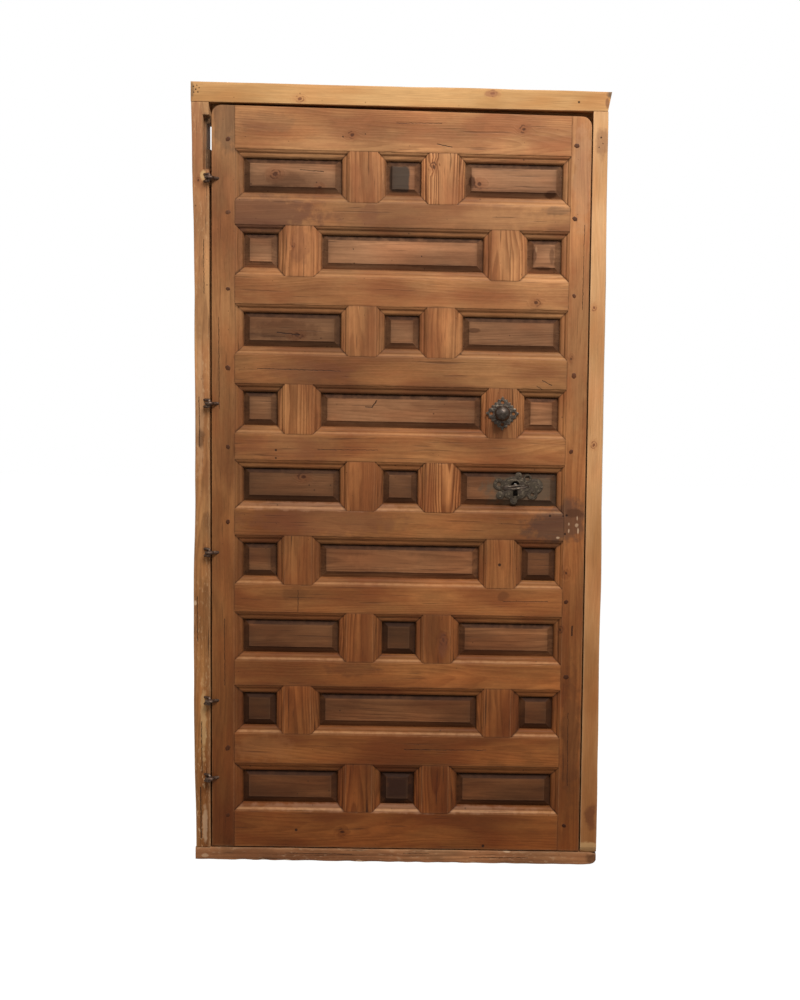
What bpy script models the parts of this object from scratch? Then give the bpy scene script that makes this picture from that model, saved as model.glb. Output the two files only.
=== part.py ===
# Panelled pine door in its frame, with eye hinges, a pull knob and a lock with its key.
# Metres, +Z up. The door is seen from -Y. X = 0 is the middle of the panelling, Z = 0 the underside of the sill,
# and Y = 0 the middle of the frame's depth.
import math

import bmesh
import bpy
from mathutils import Matrix, Vector

# Clearances
JOINT_GAP = 0.0003
STOP_GAP = 0.0005
EYE_GAP = 0.0016
BOLT_CLEARANCE = 0.0004
CUT_MARGIN = 0.005
OVERLAP = 0.002

# Frame
FRAME_DEPTH = 0.084
HEAD_HEIGHT = 0.052
HEAD_OVERSAIL = 0.006
HINGE_JAMB_WIDTH = 0.041
LOCK_JAMB_WIDTH_TOP = 0.041
LOCK_JAMB_WIDTH_FOOT = 0.047
SILL_HEIGHT = 0.036
SILL_INSET = 0.003
STOP_OVERLAP = 0.014
JAMB_TENON_WIDTH = 0.020
JAMB_TENON_DEPTH = 0.036
HEAD_TENON_LENGTH = 0.030
SILL_TENON_LENGTH = 0.020
NOTCH_WIDTH = 0.015
NOTCH_DEPTH = 0.030
NOTCH_BELOW_TOP = 0.026
NOTCH_HEIGHT = 0.140
WINDOW_BELOW_TOP = 0.049
WINDOW_HEIGHT = 0.062

# Leaf
LEAF_HEIGHT = 1.967
LEAF_THICKNESS = 0.040
LEAF_SETBACK = 0.004
HINGE_GAP = 0.0065
LOCK_GAP = 0.0045
HEAD_GAP = 0.006
SILL_GAP = 0.003
LEAF_TOP_FALL = 0.008
LEAF_CORNER_RADIUS = 0.026
LEAF_CORNER_STEPS = 6
HINGE_STILE_FACE = 0.060
LOCK_STILE_FACE_TOP = 0.0515
LOCK_STILE_FACE_FOOT = 0.0585
PANELLING_WIDTH = 0.879
RAIL_FACES = (0.110, 0.062, 0.073, 0.076, 0.069, 0.069, 0.074, 0.067, 0.081, 0.098)
MULLION_FACE = 0.073
ODD_MIDDLE_OPENING = 0.1346
EVEN_SIDE_OPENING = 0.1328
RAIL_TENON_LENGTH = 0.042
RAIL_TENON_THICKNESS = 0.012
RAIL_TENON_SHOULDER = 0.010
STUB_TENON_LENGTH = 0.012
STUB_TENON_WIDTH = 0.040

# Moulding, as shares of its width and depth from the face inwards, and panels
MOULDING_WIDTH = 0.0216
MOULDING_DEPTH = 0.017
MOULDING_STEPS = ((0.02, 0.18), (0.46, 0.33), (0.50, 0.50), (0.95, 0.74), (1.0, 1.0))
PANEL_REVEAL = 0.0045
PANEL_TONGUE_THICKNESS = 0.007
PANEL_TONGUE_LENGTH = 0.009
PANEL_FIELD_DEPTH = 0.010
PANEL_CHAMFER = 0.016
PANEL_EDGE_GAP = 0.001

# Hinge eyes, each beside a row of panels: the row and how far above its middle
HINGE_PLACES = ((1, -0.012), (4, 0.011), (6, 0.018), (8, 0.023), (9, 0.025))
EYE_WIRE_RADIUS = 0.0034
EYE_RING_RADIUS = 0.0088
EYE_BEND_RADIUS = 0.0045
EYE_SHANK_LENGTH = 0.043
JAMB_LEG_LENGTH = 0.050
EYE_FACE_GAP = 0.0006

# Knob, on the right mullion of row 4
KNOB_ROW = 4
KNOB_RADIUS = 0.0210
KNOB_STANDOFF = 0.028
KNOB_NECK_RADIUS = 0.008
KNOB_COLLAR_RADIUS = 0.014
KNOB_COLLAR_HEIGHT = 0.004
KNOB_SHANK_RADIUS = 0.0045
ROSETTE_HALF_DIAGONAL = 0.045
ROSETTE_THICKNESS = 0.0025
ROSETTE_SCALLOPS = 20
NUT_SIDE = 0.022
NUT_THICKNESS = 0.006
SHANK_END = 0.002

# Lock, on the right panel of row 5
LOCK_ROW = 5
KEY_FROM_STILE = 0.1315
KEY_ABOVE_ROW = 0.0095
KEYHOLE_RADIUS = 0.012
KEYHOLE_SLOT_WIDTH = 0.012
KEYHOLE_SLOT_LENGTH = 0.027
ESCUTCHEON_THICKNESS = 0.003
ESCUTCHEON_HALF_WIDTH = 0.040
ESCUTCHEON_HALF_HEIGHT = 0.031
ESCUTCHEON_DROP = 0.006
# Lobes round the plate's body, from the key's axis: across, up, radius, radius of the piercing
ESCUTCHEON_LOBES = (
    (-0.044, 0.004, 0.015, 0.006),
    (-0.040, -0.026, 0.011, 0),
    (0.032, 0.020, 0.012, 0.006),
    (0.054, 0.000, 0.020, 0),
    (0.046, -0.022, 0.014, 0.005),
    (-0.004, -0.040, 0.010, 0),
    (0.008, 0.026, 0.010, 0),
)
PIERCING_RADIUS = 0.0045
CASE_LENGTH = 0.226
CASE_LAP = 0.0086
CASE_DEPTH = 0.028
CASE_WALL = 0.0025
CASE_END_GAP = 0.006
BOLT_HEIGHT = 0.016
BOLT_THICKNESS = 0.010
BOLT_ABOVE_KEY = 0.011
BOLT_TAIL = 0.048
BOLT_SHOW = 0.001
BOLT_THROW = 0.018
BOLT_NOTCH_BACK = 0.0225
BOLT_NOTCH_FRONT = 0.0055
BOLT_NOTCH_DEPTH = 0.0075
STRIKE_CLEARANCE = 0.0015
KEY_SHANK_RADIUS = 0.0045
KEY_BIT_LENGTH = 0.017
KEY_BIT_THICKNESS = 0.005
KEY_BIT_WIDTH = 0.009
KEY_NECK = 0.018
KEY_BOW_HALF_WIDTH = 0.033
KEY_BOW_HALF_DEPTH = 0.017
KEY_BOW_WIRE_RADIUS = 0.0035
KEY_BOW_DROOP_DEGREES = 10
KEY_TILT_DEGREES = 6

# Colours of the finishes, linear
PINE = (0.30, 0.125, 0.05)
PINE_GOLD = (0.46, 0.22, 0.085)
PINE_GREY = (0.26, 0.14, 0.075)
PINE_DARK = (0.17, 0.07, 0.032)
IRON = (0.055, 0.045, 0.038)
WOOD_ROUGHNESS = 0.55
IRON_ROUGHNESS = 0.45
SMOOTH_ANGLE_DEGREES = 35

# Places worked out from the sizes above
FRAME_FRONT = -FRAME_DEPTH / 2
FRAME_BACK = FRAME_DEPTH / 2
LEAF_FRONT = FRAME_FRONT + LEAF_SETBACK
LEAF_BACK = LEAF_FRONT + LEAF_THICKNESS
STOP_FRONT = LEAF_BACK + STOP_GAP
HALF_PANELLING = PANELLING_WIDTH / 2
HINGE_EDGE = -HALF_PANELLING - HINGE_STILE_FACE
LOCK_EDGE_TOP = HALF_PANELLING + LOCK_STILE_FACE_TOP
LOCK_EDGE_FOOT = HALF_PANELLING + LOCK_STILE_FACE_FOOT
ROWS = len(RAIL_FACES) - 1
LEAF_FOOT = SILL_HEIGHT + SILL_GAP
LEAF_TOP = LEAF_FOOT + LEAF_HEIGHT
ROW_OPENING = (LEAF_HEIGHT - sum(RAIL_FACES)) / ROWS
ODD_MULLION_OFFSET = (ODD_MIDDLE_OPENING + MULLION_FACE) / 2
EVEN_MULLION_OFFSET = HALF_PANELLING - EVEN_SIDE_OPENING - MULLION_FACE / 2
HEAD_FOOT = LEAF_TOP + HEAD_GAP
HEAD_TOP = HEAD_FOOT + HEAD_HEIGHT
HEAD_LIP_FOOT = LEAF_TOP - LEAF_TOP_FALL - STOP_OVERLAP
HINGE_JAMB_INNER = HINGE_EDGE - HINGE_GAP
HINGE_JAMB_OUTER = HINGE_JAMB_INNER - HINGE_JAMB_WIDTH
TONGUE_FRONT = MOULDING_DEPTH + PANEL_REVEAL
TONGUE_BACK = TONGUE_FRONT + PANEL_TONGUE_THICKNESS
TONGUE_MIDDLE = (TONGUE_FRONT + TONGUE_BACK) / 2
TONGUE_REACH = PANEL_TONGUE_LENGTH - MOULDING_WIDTH
SLACK = JOINT_GAP / 2
MITRE_REACH = MOULDING_WIDTH + CUT_MARGIN
HINGE_AXIS_X = (HINGE_EDGE + HINGE_JAMB_INNER) / 2
HINGE_AXIS_Y = FRAME_FRONT - EYE_RING_RADIUS - EYE_WIRE_RADIUS - EYE_FACE_GAP
KEY_X = HALF_PANELLING - KEY_FROM_STILE

# Frames that stand an outline up: along X, along Z, and facing the viewer
ALONG_X = Matrix(((0, 0, 1, 0), (1, 0, 0, 0), (0, 1, 0, 0), (0, 0, 0, 1)))
ALONG_Z = Matrix.Identity(4)
FACING = Matrix(((1, 0, 0, 0), (0, 0, -1, 0), (0, 1, 0, 0), (0, 0, 0, 1)))


def lock_edge(height):
    # The leaf's lock edge leans: it was planed more at the top.
    share = (height - LEAF_FOOT) / (LEAF_TOP - LEAF_FOOT)
    return LOCK_EDGE_FOOT + share * (LOCK_EDGE_TOP - LOCK_EDGE_FOOT)


def leaf_top(across):
    # The top edge falls evenly from the hinge side to the lock side.
    share = (across - HINGE_EDGE) / (LOCK_EDGE_TOP - HINGE_EDGE)
    return LEAF_TOP - LEAF_TOP_FALL * share


def row_span(row):
    # Foot and top of a row's openings, rows counted from 1 at the top.
    top = LEAF_TOP - sum(RAIL_FACES[:row]) - (row - 1) * ROW_OPENING
    return top - ROW_OPENING, top


def row_middle(row):
    return sum(row_span(row)) / 2


def hinge_heights():
    return [row_middle(row) + above for row, above in HINGE_PLACES]


def mullion_centres(row):
    offset = ODD_MULLION_OFFSET if row % 2 else EVEN_MULLION_OFFSET
    return -offset, offset


def row_openings(row):
    # Left and right of each opening between the mullions' faces.
    edges = [-HALF_PANELLING]
    for centre in mullion_centres(row):
        edges += [centre - MULLION_FACE / 2, centre + MULLION_FACE / 2]
    edges.append(HALF_PANELLING)
    return list(zip(edges[0::2], edges[1::2]))


def clear_scene():
    for thing in list(bpy.data.objects):
        bpy.data.objects.remove(thing)


def add_object(name, data):
    made = bpy.data.objects.new(name, data)
    bpy.context.scene.collection.objects.link(made)
    return made


def frozen(made):
    # The object's mesh as its modifiers leave it, welded and facing out.
    bpy.context.view_layer.update()
    graph = bpy.context.evaluated_depsgraph_get()
    mesh = bpy.data.meshes.new_from_object(made.evaluated_get(graph))
    shape = bmesh.new()
    shape.from_mesh(mesh)
    bmesh.ops.remove_doubles(shape, verts=shape.verts, dist=1e-6)
    bmesh.ops.recalc_face_normals(shape, faces=shape.faces)
    shape.to_mesh(mesh)
    shape.free()
    name = made.name
    bpy.data.objects.remove(made)
    return add_object(name, mesh)


def moved(made, frame):
    made.data.transform(frame)
    return made


def outline(name, loops, thickness, frame):
    # A flat outline with a thickness, centred on its plane; loops after the first are holes.
    curve = bpy.data.curves.new(name, "CURVE")
    curve.dimensions = "2D"
    curve.fill_mode = "BOTH"
    curve.extrude = thickness / 2
    for loop in loops:
        spline = curve.splines.new("POLY")
        spline.points.add(len(loop) - 1)
        spline.points.foreach_set("co", [value for x, y in loop for value in (x, y, 0, 1)])
        spline.use_cyclic_u = True
    return moved(frozen(add_object(name, curve)), frame)


def box(name, low, high):
    mesh = bpy.data.meshes.new(name)
    shape = bmesh.new()
    bmesh.ops.create_cube(shape, size=1)
    size = Vector(high) - Vector(low)
    bmesh.ops.scale(shape, vec=size, verts=shape.verts)
    bmesh.ops.translate(shape, vec=Vector(low) + size / 2, verts=shape.verts)
    shape.to_mesh(mesh)
    shape.free()
    return add_object(name, mesh)


def cylinder(name, radius, start, end, segments=24):
    mesh = bpy.data.meshes.new(name)
    shape = bmesh.new()
    along = Vector(end) - Vector(start)
    bmesh.ops.create_cone(
        shape, cap_ends=True, segments=segments, radius1=radius, radius2=radius, depth=along.length
    )
    turn = Vector((0, 0, 1)).rotation_difference(along).to_matrix().to_4x4()
    middle = Matrix.Translation((Vector(start) + Vector(end)) / 2)
    bmesh.ops.transform(shape, matrix=middle @ turn, verts=shape.verts)
    shape.to_mesh(mesh)
    shape.free()
    return add_object(name, mesh)


def tube(name, points, radius, cyclic=False):
    curve = bpy.data.curves.new(name, "CURVE")
    curve.dimensions = "3D"
    curve.bevel_depth = radius
    curve.bevel_resolution = 2
    curve.use_fill_caps = True
    spline = curve.splines.new("POLY")
    spline.points.add(len(points) - 1)
    spline.points.foreach_set("co", [value for point in points for value in (*point, 1)])
    spline.use_cyclic_u = cyclic
    return frozen(add_object(name, curve))


def merged(tools):
    # Several separate tools as one object, so that one Boolean does them all.
    shape = bmesh.new()
    for tool in tools:
        shape.from_mesh(tool.data)
    mesh = bpy.data.meshes.new(tools[0].name)
    shape.to_mesh(mesh)
    shape.free()
    for tool in tools:
        bpy.data.objects.remove(tool)
    return add_object("tool", mesh)


def combine(target, operation, *tools):
    tool = merged(tools)
    step = target.modifiers.new(operation.lower(), "BOOLEAN")
    step.operation = operation
    step.solver = "EXACT"
    step.object = tool
    result = frozen(target)
    bpy.data.objects.remove(tool)
    return result


def arc(centre, radius, start, end, steps):
    # Points on an arc, angles in degrees.
    angles = [math.radians(start + (end - start) * i / steps) for i in range(steps + 1)]
    return [(centre[0] + radius * math.cos(a), centre[1] + radius * math.sin(a)) for a in angles]


def scalloped(half_width, half_height, power, scallops, ripple):
    # A diamond or oval outline whose edge waves in and out.
    points = []
    steps = scallops * 6
    for i in range(steps):
        angle = 2 * math.pi * i / steps
        wide = abs(math.cos(angle) / half_width) ** power
        high = abs(math.sin(angle) / half_height) ** power
        reach = (wide + high) ** (-1 / power) * (1 - ripple + ripple * math.cos(scallops * angle))
        points.append((reach * math.cos(angle), reach * math.sin(angle)))
    return points


def moulded_edge(face_edge, outward, grooved=True):
    # One edge of a member's section as (across, depth), from its face to its back.
    edge = face_edge + outward * MOULDING_WIDTH
    points = [(face_edge, 0)]
    for across, depth in MOULDING_STEPS:
        points.append((face_edge + outward * MOULDING_WIDTH * across, MOULDING_DEPTH * depth))
    if grooved:
        bottom = edge - outward * (PANEL_TONGUE_LENGTH + JOINT_GAP)
        front = TONGUE_FRONT - JOINT_GAP
        back = TONGUE_BACK + JOINT_GAP
        points += [(edge, front), (bottom, front), (bottom, back), (edge, back)]
    return points + [(edge, LEAF_THICKNESS)]


def square_edge(edge):
    return [(edge, 0), (edge, LEAF_THICKNESS)]


def bar(name, near_edge, far_edge, length, frame):
    return outline(name, [near_edge + far_edge[::-1]], length, frame)


def toothed_edge(openings, level, outward):
    # An edge of a rail or stile as (along, across): the moulding of each opening ends in two mitres,
    # and between openings the neighbour's face butts against the level.
    butt = level - outward * SLACK
    tip = level + outward * MITRE_REACH
    start_lap = SLACK * (math.sqrt(2) - 1)
    tip_lap = SLACK * math.sqrt(2) + MITRE_REACH
    points = []
    for start, end in openings:
        points.append((start + start_lap, butt))
        points.append((start + tip_lap, tip))
        points.append((end - tip_lap, tip))
        points.append((end - start_lap, butt))
    return points


def trimmed(made, loop):
    # Keeps what lies inside an outline seen from the front, for the whole depth of the leaf.
    depth = LEAF_THICKNESS + 2 * CUT_MARGIN
    middle = Matrix.Translation((0, LEAF_THICKNESS / 2, 0))
    return combine(made, "INTERSECT", outline("outline", [loop], depth, middle @ FACING))


def rail_span(index):
    # Foot and top of a rail's flat face, rails counted from 0 at the top.
    top = LEAF_TOP if index == 0 else row_span(index)[0]
    foot = LEAF_FOOT if index == ROWS else row_span(index + 1)[1]
    return foot, top


def rail_tenon(index, side, gap):
    # The tenon of a rail in a stile, or with a gap its mortise.
    foot, top = rail_span(index)
    if index == 0:
        top = leaf_top(side * HALF_PANELLING)
    middle = LEAF_FRONT + TONGUE_MIDDLE
    half = RAIL_TENON_THICKNESS / 2 + gap
    ends = sorted((side * (HALF_PANELLING - CUT_MARGIN), side * (HALF_PANELLING + RAIL_TENON_LENGTH + gap)))
    low = (ends[0], middle - half, foot + RAIL_TENON_SHOULDER - gap)
    high = (ends[1], middle + half, top - RAIL_TENON_SHOULDER + gap)
    return box("tenon", low, high)


def stub_mortises(index):
    # Where the mullions above and below a rail enter it.
    foot, top = rail_span(index)
    front = LEAF_FRONT + TONGUE_FRONT - JOINT_GAP
    back = LEAF_FRONT + TONGUE_BACK + JOINT_GAP
    half = STUB_TENON_WIDTH / 2 + JOINT_GAP
    deep = STUB_TENON_LENGTH + JOINT_GAP
    cuts = []
    if index > 0:
        for x in mullion_centres(index):
            cuts.append(box("mortise", (x - half, front, top - deep), (x + half, back, top + CUT_MARGIN)))
    if index < ROWS:
        for x in mullion_centres(index + 1):
            cuts.append(box("mortise", (x - half, front, foot - CUT_MARGIN), (x + half, back, foot + deep)))
    return cuts


def make_rail(name, index):
    foot, top = rail_span(index)
    lower = square_edge(foot - CUT_MARGIN) if index == ROWS else moulded_edge(foot, -1)
    upper = square_edge(top + CUT_MARGIN) if index == 0 else moulded_edge(top, 1)
    section = [[(depth, height) for height, depth in edge] for edge in (lower, upper)]
    rail = bar(name, section[0], section[1], PANELLING_WIDTH + 2 * CUT_MARGIN, ALONG_X)
    end = HALF_PANELLING - SLACK
    if index == 0:
        above = [(-end, leaf_top(-end)), (end, leaf_top(end))]
    else:
        above = toothed_edge(row_openings(index), top, 1)
    if index == ROWS:
        below = [(-end, foot), (end, foot)]
    else:
        below = toothed_edge(row_openings(index + 1), foot, -1)
    rail = moved(trimmed(rail, above + below[::-1]), Matrix.Translation((0, LEAF_FRONT, 0)))
    rail = combine(rail, "UNION", rail_tenon(index, -1, 0), rail_tenon(index, 1, 0))
    return combine(rail, "DIFFERENCE", *stub_mortises(index))


def make_stile(name, side):
    # side is -1 for the hinge stile and 1 for the lock stile.
    level = side * HALF_PANELLING
    outer_top = HINGE_EDGE if side < 0 else LOCK_EDGE_TOP
    outer_foot = HINGE_EDGE if side < 0 else LOCK_EDGE_FOOT
    farthest = max((outer_top, outer_foot), key=abs) + side * CUT_MARGIN
    height = LEAF_TOP - LEAF_FOOT
    stile = bar(name, moulded_edge(level, -side), square_edge(farthest), height + 2 * CUT_MARGIN, ALONG_Z)
    stile = moved(stile, Matrix.Translation((0, 0, LEAF_FOOT + height / 2)))
    spans = [row_span(row) for row in range(ROWS, 0, -1)]
    inner = [(x, z) for z, x in toothed_edge(spans, level, -side)]
    butt = level + side * SLACK
    round_x = outer_top - side * LEAF_CORNER_RADIUS
    round_z = leaf_top(outer_top) - LEAF_CORNER_RADIUS
    corner = arc((round_x, round_z), LEAF_CORNER_RADIUS, 90, 90 - side * 90, LEAF_CORNER_STEPS)
    loop = [(butt, LEAF_FOOT), *inner, (butt, leaf_top(level)), *corner, (outer_foot, LEAF_FOOT)]
    stile = moved(trimmed(stile, loop), Matrix.Translation((0, LEAF_FRONT, 0)))
    mortises = [rail_tenon(index, side, JOINT_GAP) for index in range(ROWS + 1)]
    return combine(stile, "DIFFERENCE", *mortises)


def make_mullion(name):
    # About its own middle, with its face at Y = 0.
    half = MULLION_FACE / 2
    tip = ROW_OPENING / 2
    mullion = bar(
        name, moulded_edge(-half, -1, False), moulded_edge(half, 1, False), ROW_OPENING + 2 * CUT_MARGIN, ALONG_Z
    )
    narrow = half - SLACK * (math.sqrt(2) - 1)
    wide = half - SLACK * math.sqrt(2) + MITRE_REACH
    quarter = [(narrow, tip - SLACK), (wide, tip - MITRE_REACH)]
    right = quarter + [(x, -z) for x, z in quarter[::-1]]
    mullion = trimmed(mullion, right + [(-x, z) for x, z in right[::-1]])
    stub = STUB_TENON_WIDTH / 2
    root = tip - CUT_MARGIN
    end = tip + STUB_TENON_LENGTH
    upper = box("stub", (-stub, TONGUE_FRONT, root), (stub, TONGUE_BACK, end))
    lower = box("stub", (-stub, TONGUE_FRONT, -end), (stub, TONGUE_BACK, -root))
    mullion = combine(mullion, "UNION", upper, lower)
    across = half + MOULDING_WIDTH + CUT_MARGIN
    up = tip + TONGUE_REACH + JOINT_GAP
    slot = box(
        "slot", (-across, TONGUE_FRONT - JOINT_GAP, -up), (across, TONGUE_BACK + JOINT_GAP, up)
    )
    return combine(mullion, "DIFFERENCE", slot)


def raised_field(left, right):
    # One fielded panel: a block whose front is smaller by the chamfer all round.
    low = ROW_OPENING / 2 - MOULDING_WIDTH - PANEL_EDGE_GAP
    slope = PANEL_CHAMFER / (TONGUE_FRONT - PANEL_FIELD_DEPTH)
    inset = MOULDING_WIDTH + PANEL_EDGE_GAP - slope * OVERLAP
    low += slope * OVERLAP
    block = box("field", (left + inset, PANEL_FIELD_DEPTH, -low), (right - inset, TONGUE_FRONT + OVERLAP, low))
    middle = (left + right) / 2
    taper = PANEL_CHAMFER + slope * OVERLAP
    for vertex in block.data.vertices:
        if vertex.co.y < TONGUE_FRONT:
            vertex.co.x -= math.copysign(taper, vertex.co.x - middle)
            vertex.co.z -= math.copysign(taper, vertex.co.z)
    return block


def make_panel_row(name, row):
    # Three fielded panels on one board, about the row's middle, with the leaf's face at Y = 0.
    wide = HALF_PANELLING + TONGUE_REACH
    high = ROW_OPENING / 2 + TONGUE_REACH
    board = box(name, (-wide, TONGUE_FRONT, -high), (wide, TONGUE_BACK, high))
    return combine(board, "UNION", *[raised_field(left, right) for left, right in row_openings(row)])


def make_leaf():
    pieces = []
    for index in range(ROWS + 1):
        name = {0: "top_rail", ROWS: "bottom_rail"}.get(index, f"rail_{index + 1}")
        pieces.append(make_rail(name, index))
    pieces += [make_stile("hinge_stile", -1), make_stile("lock_stile", 1)]
    pattern = make_mullion("mullion")
    boards = [make_panel_row("board", 1), make_panel_row("board", 2)]
    for row in range(1, ROWS + 1):
        for side, x in zip(("left", "right"), mullion_centres(row)):
            mullion = add_object(f"mullion_{row}_{side}", pattern.data.copy())
            mullion.location = (x, LEAF_FRONT, row_middle(row))
            pieces.append(mullion)
        board = add_object(f"panel_row_{row}", boards[(row - 1) % 2].data.copy())
        board.location = (0, LEAF_FRONT, row_middle(row))
        pieces.append(board)
    for spare in (pattern, *boards):
        bpy.data.objects.remove(spare)
    return {piece.name: piece for piece in pieces}


def jamb_tenons(centre_x, gap):
    # The tenons at a jamb's head and foot, or with a gap their mortises.
    half_x = JAMB_TENON_WIDTH / 2 + gap
    half_y = JAMB_TENON_DEPTH / 2 + gap
    spans = (
        (HEAD_FOOT - OVERLAP, HEAD_FOOT + HEAD_TENON_LENGTH + gap),
        (SILL_HEIGHT - SILL_TENON_LENGTH - gap, SILL_HEIGHT + OVERLAP),
    )
    return [
        box("tenon", (centre_x - half_x, -half_y, foot), (centre_x + half_x, half_y, top)) for foot, top in spans
    ]


def lock_jamb_centre(height):
    width = LOCK_JAMB_WIDTH_FOOT if height < LEAF_TOP / 2 else LOCK_JAMB_WIDTH_TOP
    return lock_edge(height) + LOCK_GAP + width / 2


def lock_jamb_tenons(gap):
    head_pair = jamb_tenons(lock_jamb_centre(HEAD_FOOT), gap)
    foot_pair = jamb_tenons(lock_jamb_centre(SILL_HEIGHT), gap)
    bpy.data.objects.remove(head_pair[1])
    bpy.data.objects.remove(foot_pair[0])
    return [head_pair[0], foot_pair[1]]


def make_hinge_jamb():
    foot = SILL_HEIGHT + JOINT_GAP
    top = HEAD_FOOT - JOINT_GAP
    jamb = box("hinge_jamb", (HINGE_JAMB_OUTER, FRAME_FRONT, foot), (HINGE_JAMB_INNER, FRAME_BACK, top))
    lip_edge = HINGE_EDGE + STOP_OVERLAP
    lip = box(
        "lip", (HINGE_JAMB_INNER - OVERLAP, STOP_FRONT, foot), (lip_edge, FRAME_BACK, HEAD_LIP_FOOT - JOINT_GAP)
    )
    centre = (HINGE_JAMB_OUTER + HINGE_JAMB_INNER) / 2
    jamb = combine(jamb, "UNION", lip)
    jamb = combine(jamb, "UNION", *jamb_tenons(centre, 0))
    notch_left = HINGE_JAMB_INNER - NOTCH_WIDTH
    notch_top = LEAF_TOP - NOTCH_BELOW_TOP
    window_top = LEAF_TOP - WINDOW_BELOW_TOP
    recess = box(
        "recess",
        (notch_left, FRAME_FRONT - CUT_MARGIN, notch_top - NOTCH_HEIGHT),
        (HINGE_JAMB_INNER + CUT_MARGIN, FRAME_FRONT + NOTCH_DEPTH, notch_top),
    )
    window = box(
        "window",
        (notch_left, FRAME_FRONT + NOTCH_DEPTH - OVERLAP, window_top - WINDOW_HEIGHT),
        (lip_edge + CUT_MARGIN, FRAME_BACK + CUT_MARGIN, window_top),
    )
    jamb = combine(jamb, "DIFFERENCE", recess)
    jamb = combine(jamb, "DIFFERENCE", window)
    holes = []
    for height in hinge_heights():
        for leg in jamb_leg_heights():
            start = (HINGE_AXIS_X, HINGE_AXIS_Y, height + leg)
            end = along_jamb_leg(JAMB_LEG_LENGTH + JOINT_GAP, height + leg)
            holes.append(cylinder("hole", EYE_WIRE_RADIUS + JOINT_GAP, start, end, 16))
    return combine(jamb, "DIFFERENCE", *holes)


def make_lock_jamb():
    foot = SILL_HEIGHT + JOINT_GAP
    top = HEAD_FOOT - JOINT_GAP
    inner = [(lock_edge(z) + LOCK_GAP, z) for z in (foot, top)]
    outer = [(inner[1][0] + LOCK_JAMB_WIDTH_TOP, top), (inner[0][0] + LOCK_JAMB_WIDTH_FOOT, foot)]
    jamb = outline("lock_jamb", [inner + outer], FRAME_DEPTH, FACING)
    lip_top = HEAD_LIP_FOOT - JOINT_GAP
    lip_inner = [(lock_edge(z) - STOP_OVERLAP, z) for z in (foot, lip_top)]
    lip_outer = [(lock_edge(z) + LOCK_GAP + OVERLAP, z) for z in (lip_top, foot)]
    lip_middle = Matrix.Translation((0, (STOP_FRONT + FRAME_BACK) / 2, 0))
    lip = outline("lip", [lip_inner + lip_outer], FRAME_BACK - STOP_FRONT, lip_middle @ FACING)
    jamb = combine(jamb, "UNION", lip)
    jamb = combine(jamb, "UNION", *lock_jamb_tenons(0))
    bolt = bolt_section(STRIKE_CLEARANCE)
    strike_start = case_right() - CUT_MARGIN
    strike_end = case_right() + BOLT_SHOW + BOLT_THROW + STRIKE_CLEARANCE
    strike = box(
        "strike", (strike_start, bolt["front"], bolt["foot"]), (strike_end, bolt["back"], bolt["top"])
    )
    return combine(jamb, "DIFFERENCE", strike)


def make_head():
    left = HINGE_JAMB_OUTER - HEAD_OVERSAIL
    right = lock_edge(HEAD_FOOT) + LOCK_GAP + LOCK_JAMB_WIDTH_TOP + HEAD_OVERSAIL
    head = box("frame_head", (left, FRAME_FRONT, HEAD_FOOT), (right, FRAME_BACK, HEAD_TOP))
    lip_end = lock_edge(HEAD_FOOT) + LOCK_GAP - JOINT_GAP
    lip = box(
        "lip",
        (HINGE_JAMB_INNER + JOINT_GAP, STOP_FRONT, HEAD_LIP_FOOT),
        (lip_end, FRAME_BACK, HEAD_FOOT + OVERLAP),
    )
    head = combine(head, "UNION", lip)
    hinge_pair = jamb_tenons((HINGE_JAMB_OUTER + HINGE_JAMB_INNER) / 2, JOINT_GAP)
    return combine(head, "DIFFERENCE", *hinge_pair, *lock_jamb_tenons(JOINT_GAP))


def make_sill():
    left = HINGE_JAMB_OUTER + SILL_INSET
    right = lock_edge(SILL_HEIGHT) + LOCK_GAP + LOCK_JAMB_WIDTH_FOOT - SILL_INSET
    sill = box("sill", (left, FRAME_FRONT, 0), (right, FRAME_BACK, SILL_HEIGHT))
    hinge_pair = jamb_tenons((HINGE_JAMB_OUTER + HINGE_JAMB_INNER) / 2, JOINT_GAP)
    return combine(sill, "DIFFERENCE", *hinge_pair, *lock_jamb_tenons(JOINT_GAP))


def jamb_leg_heights():
    # The lower leg carries the leaf's ring, the upper one clears it.
    carried = 2 * EYE_WIRE_RADIUS + JOINT_GAP
    return -carried, carried + EYE_GAP


def along_jamb_leg(distance, height):
    step = distance / math.sqrt(2)
    return Vector((HINGE_AXIS_X - step, HINGE_AXIS_Y + step, height))


def along_leaf_shank(distance, height):
    step = distance / math.sqrt(2)
    return Vector((HINGE_AXIS_X + step, HINGE_AXIS_Y + step, height))


def make_jamb_eye(name, height):
    # A staple: two legs in the jamb, and between them an upright pin on the hinge axis.
    lower, upper = (height + leg for leg in jamb_leg_heights())
    bend = EYE_BEND_RADIUS
    points = [along_jamb_leg(JAMB_LEG_LENGTH, lower)]
    for across, up in arc((bend, lower + bend), bend, 270, 180, 4):
        points.append(along_jamb_leg(across, up))
    for across, up in arc((bend, upper - bend), bend, 180, 90, 4):
        points.append(along_jamb_leg(across, up))
    points.append(along_jamb_leg(JAMB_LEG_LENGTH, upper))
    return tube(name, points, EYE_WIRE_RADIUS)


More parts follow.
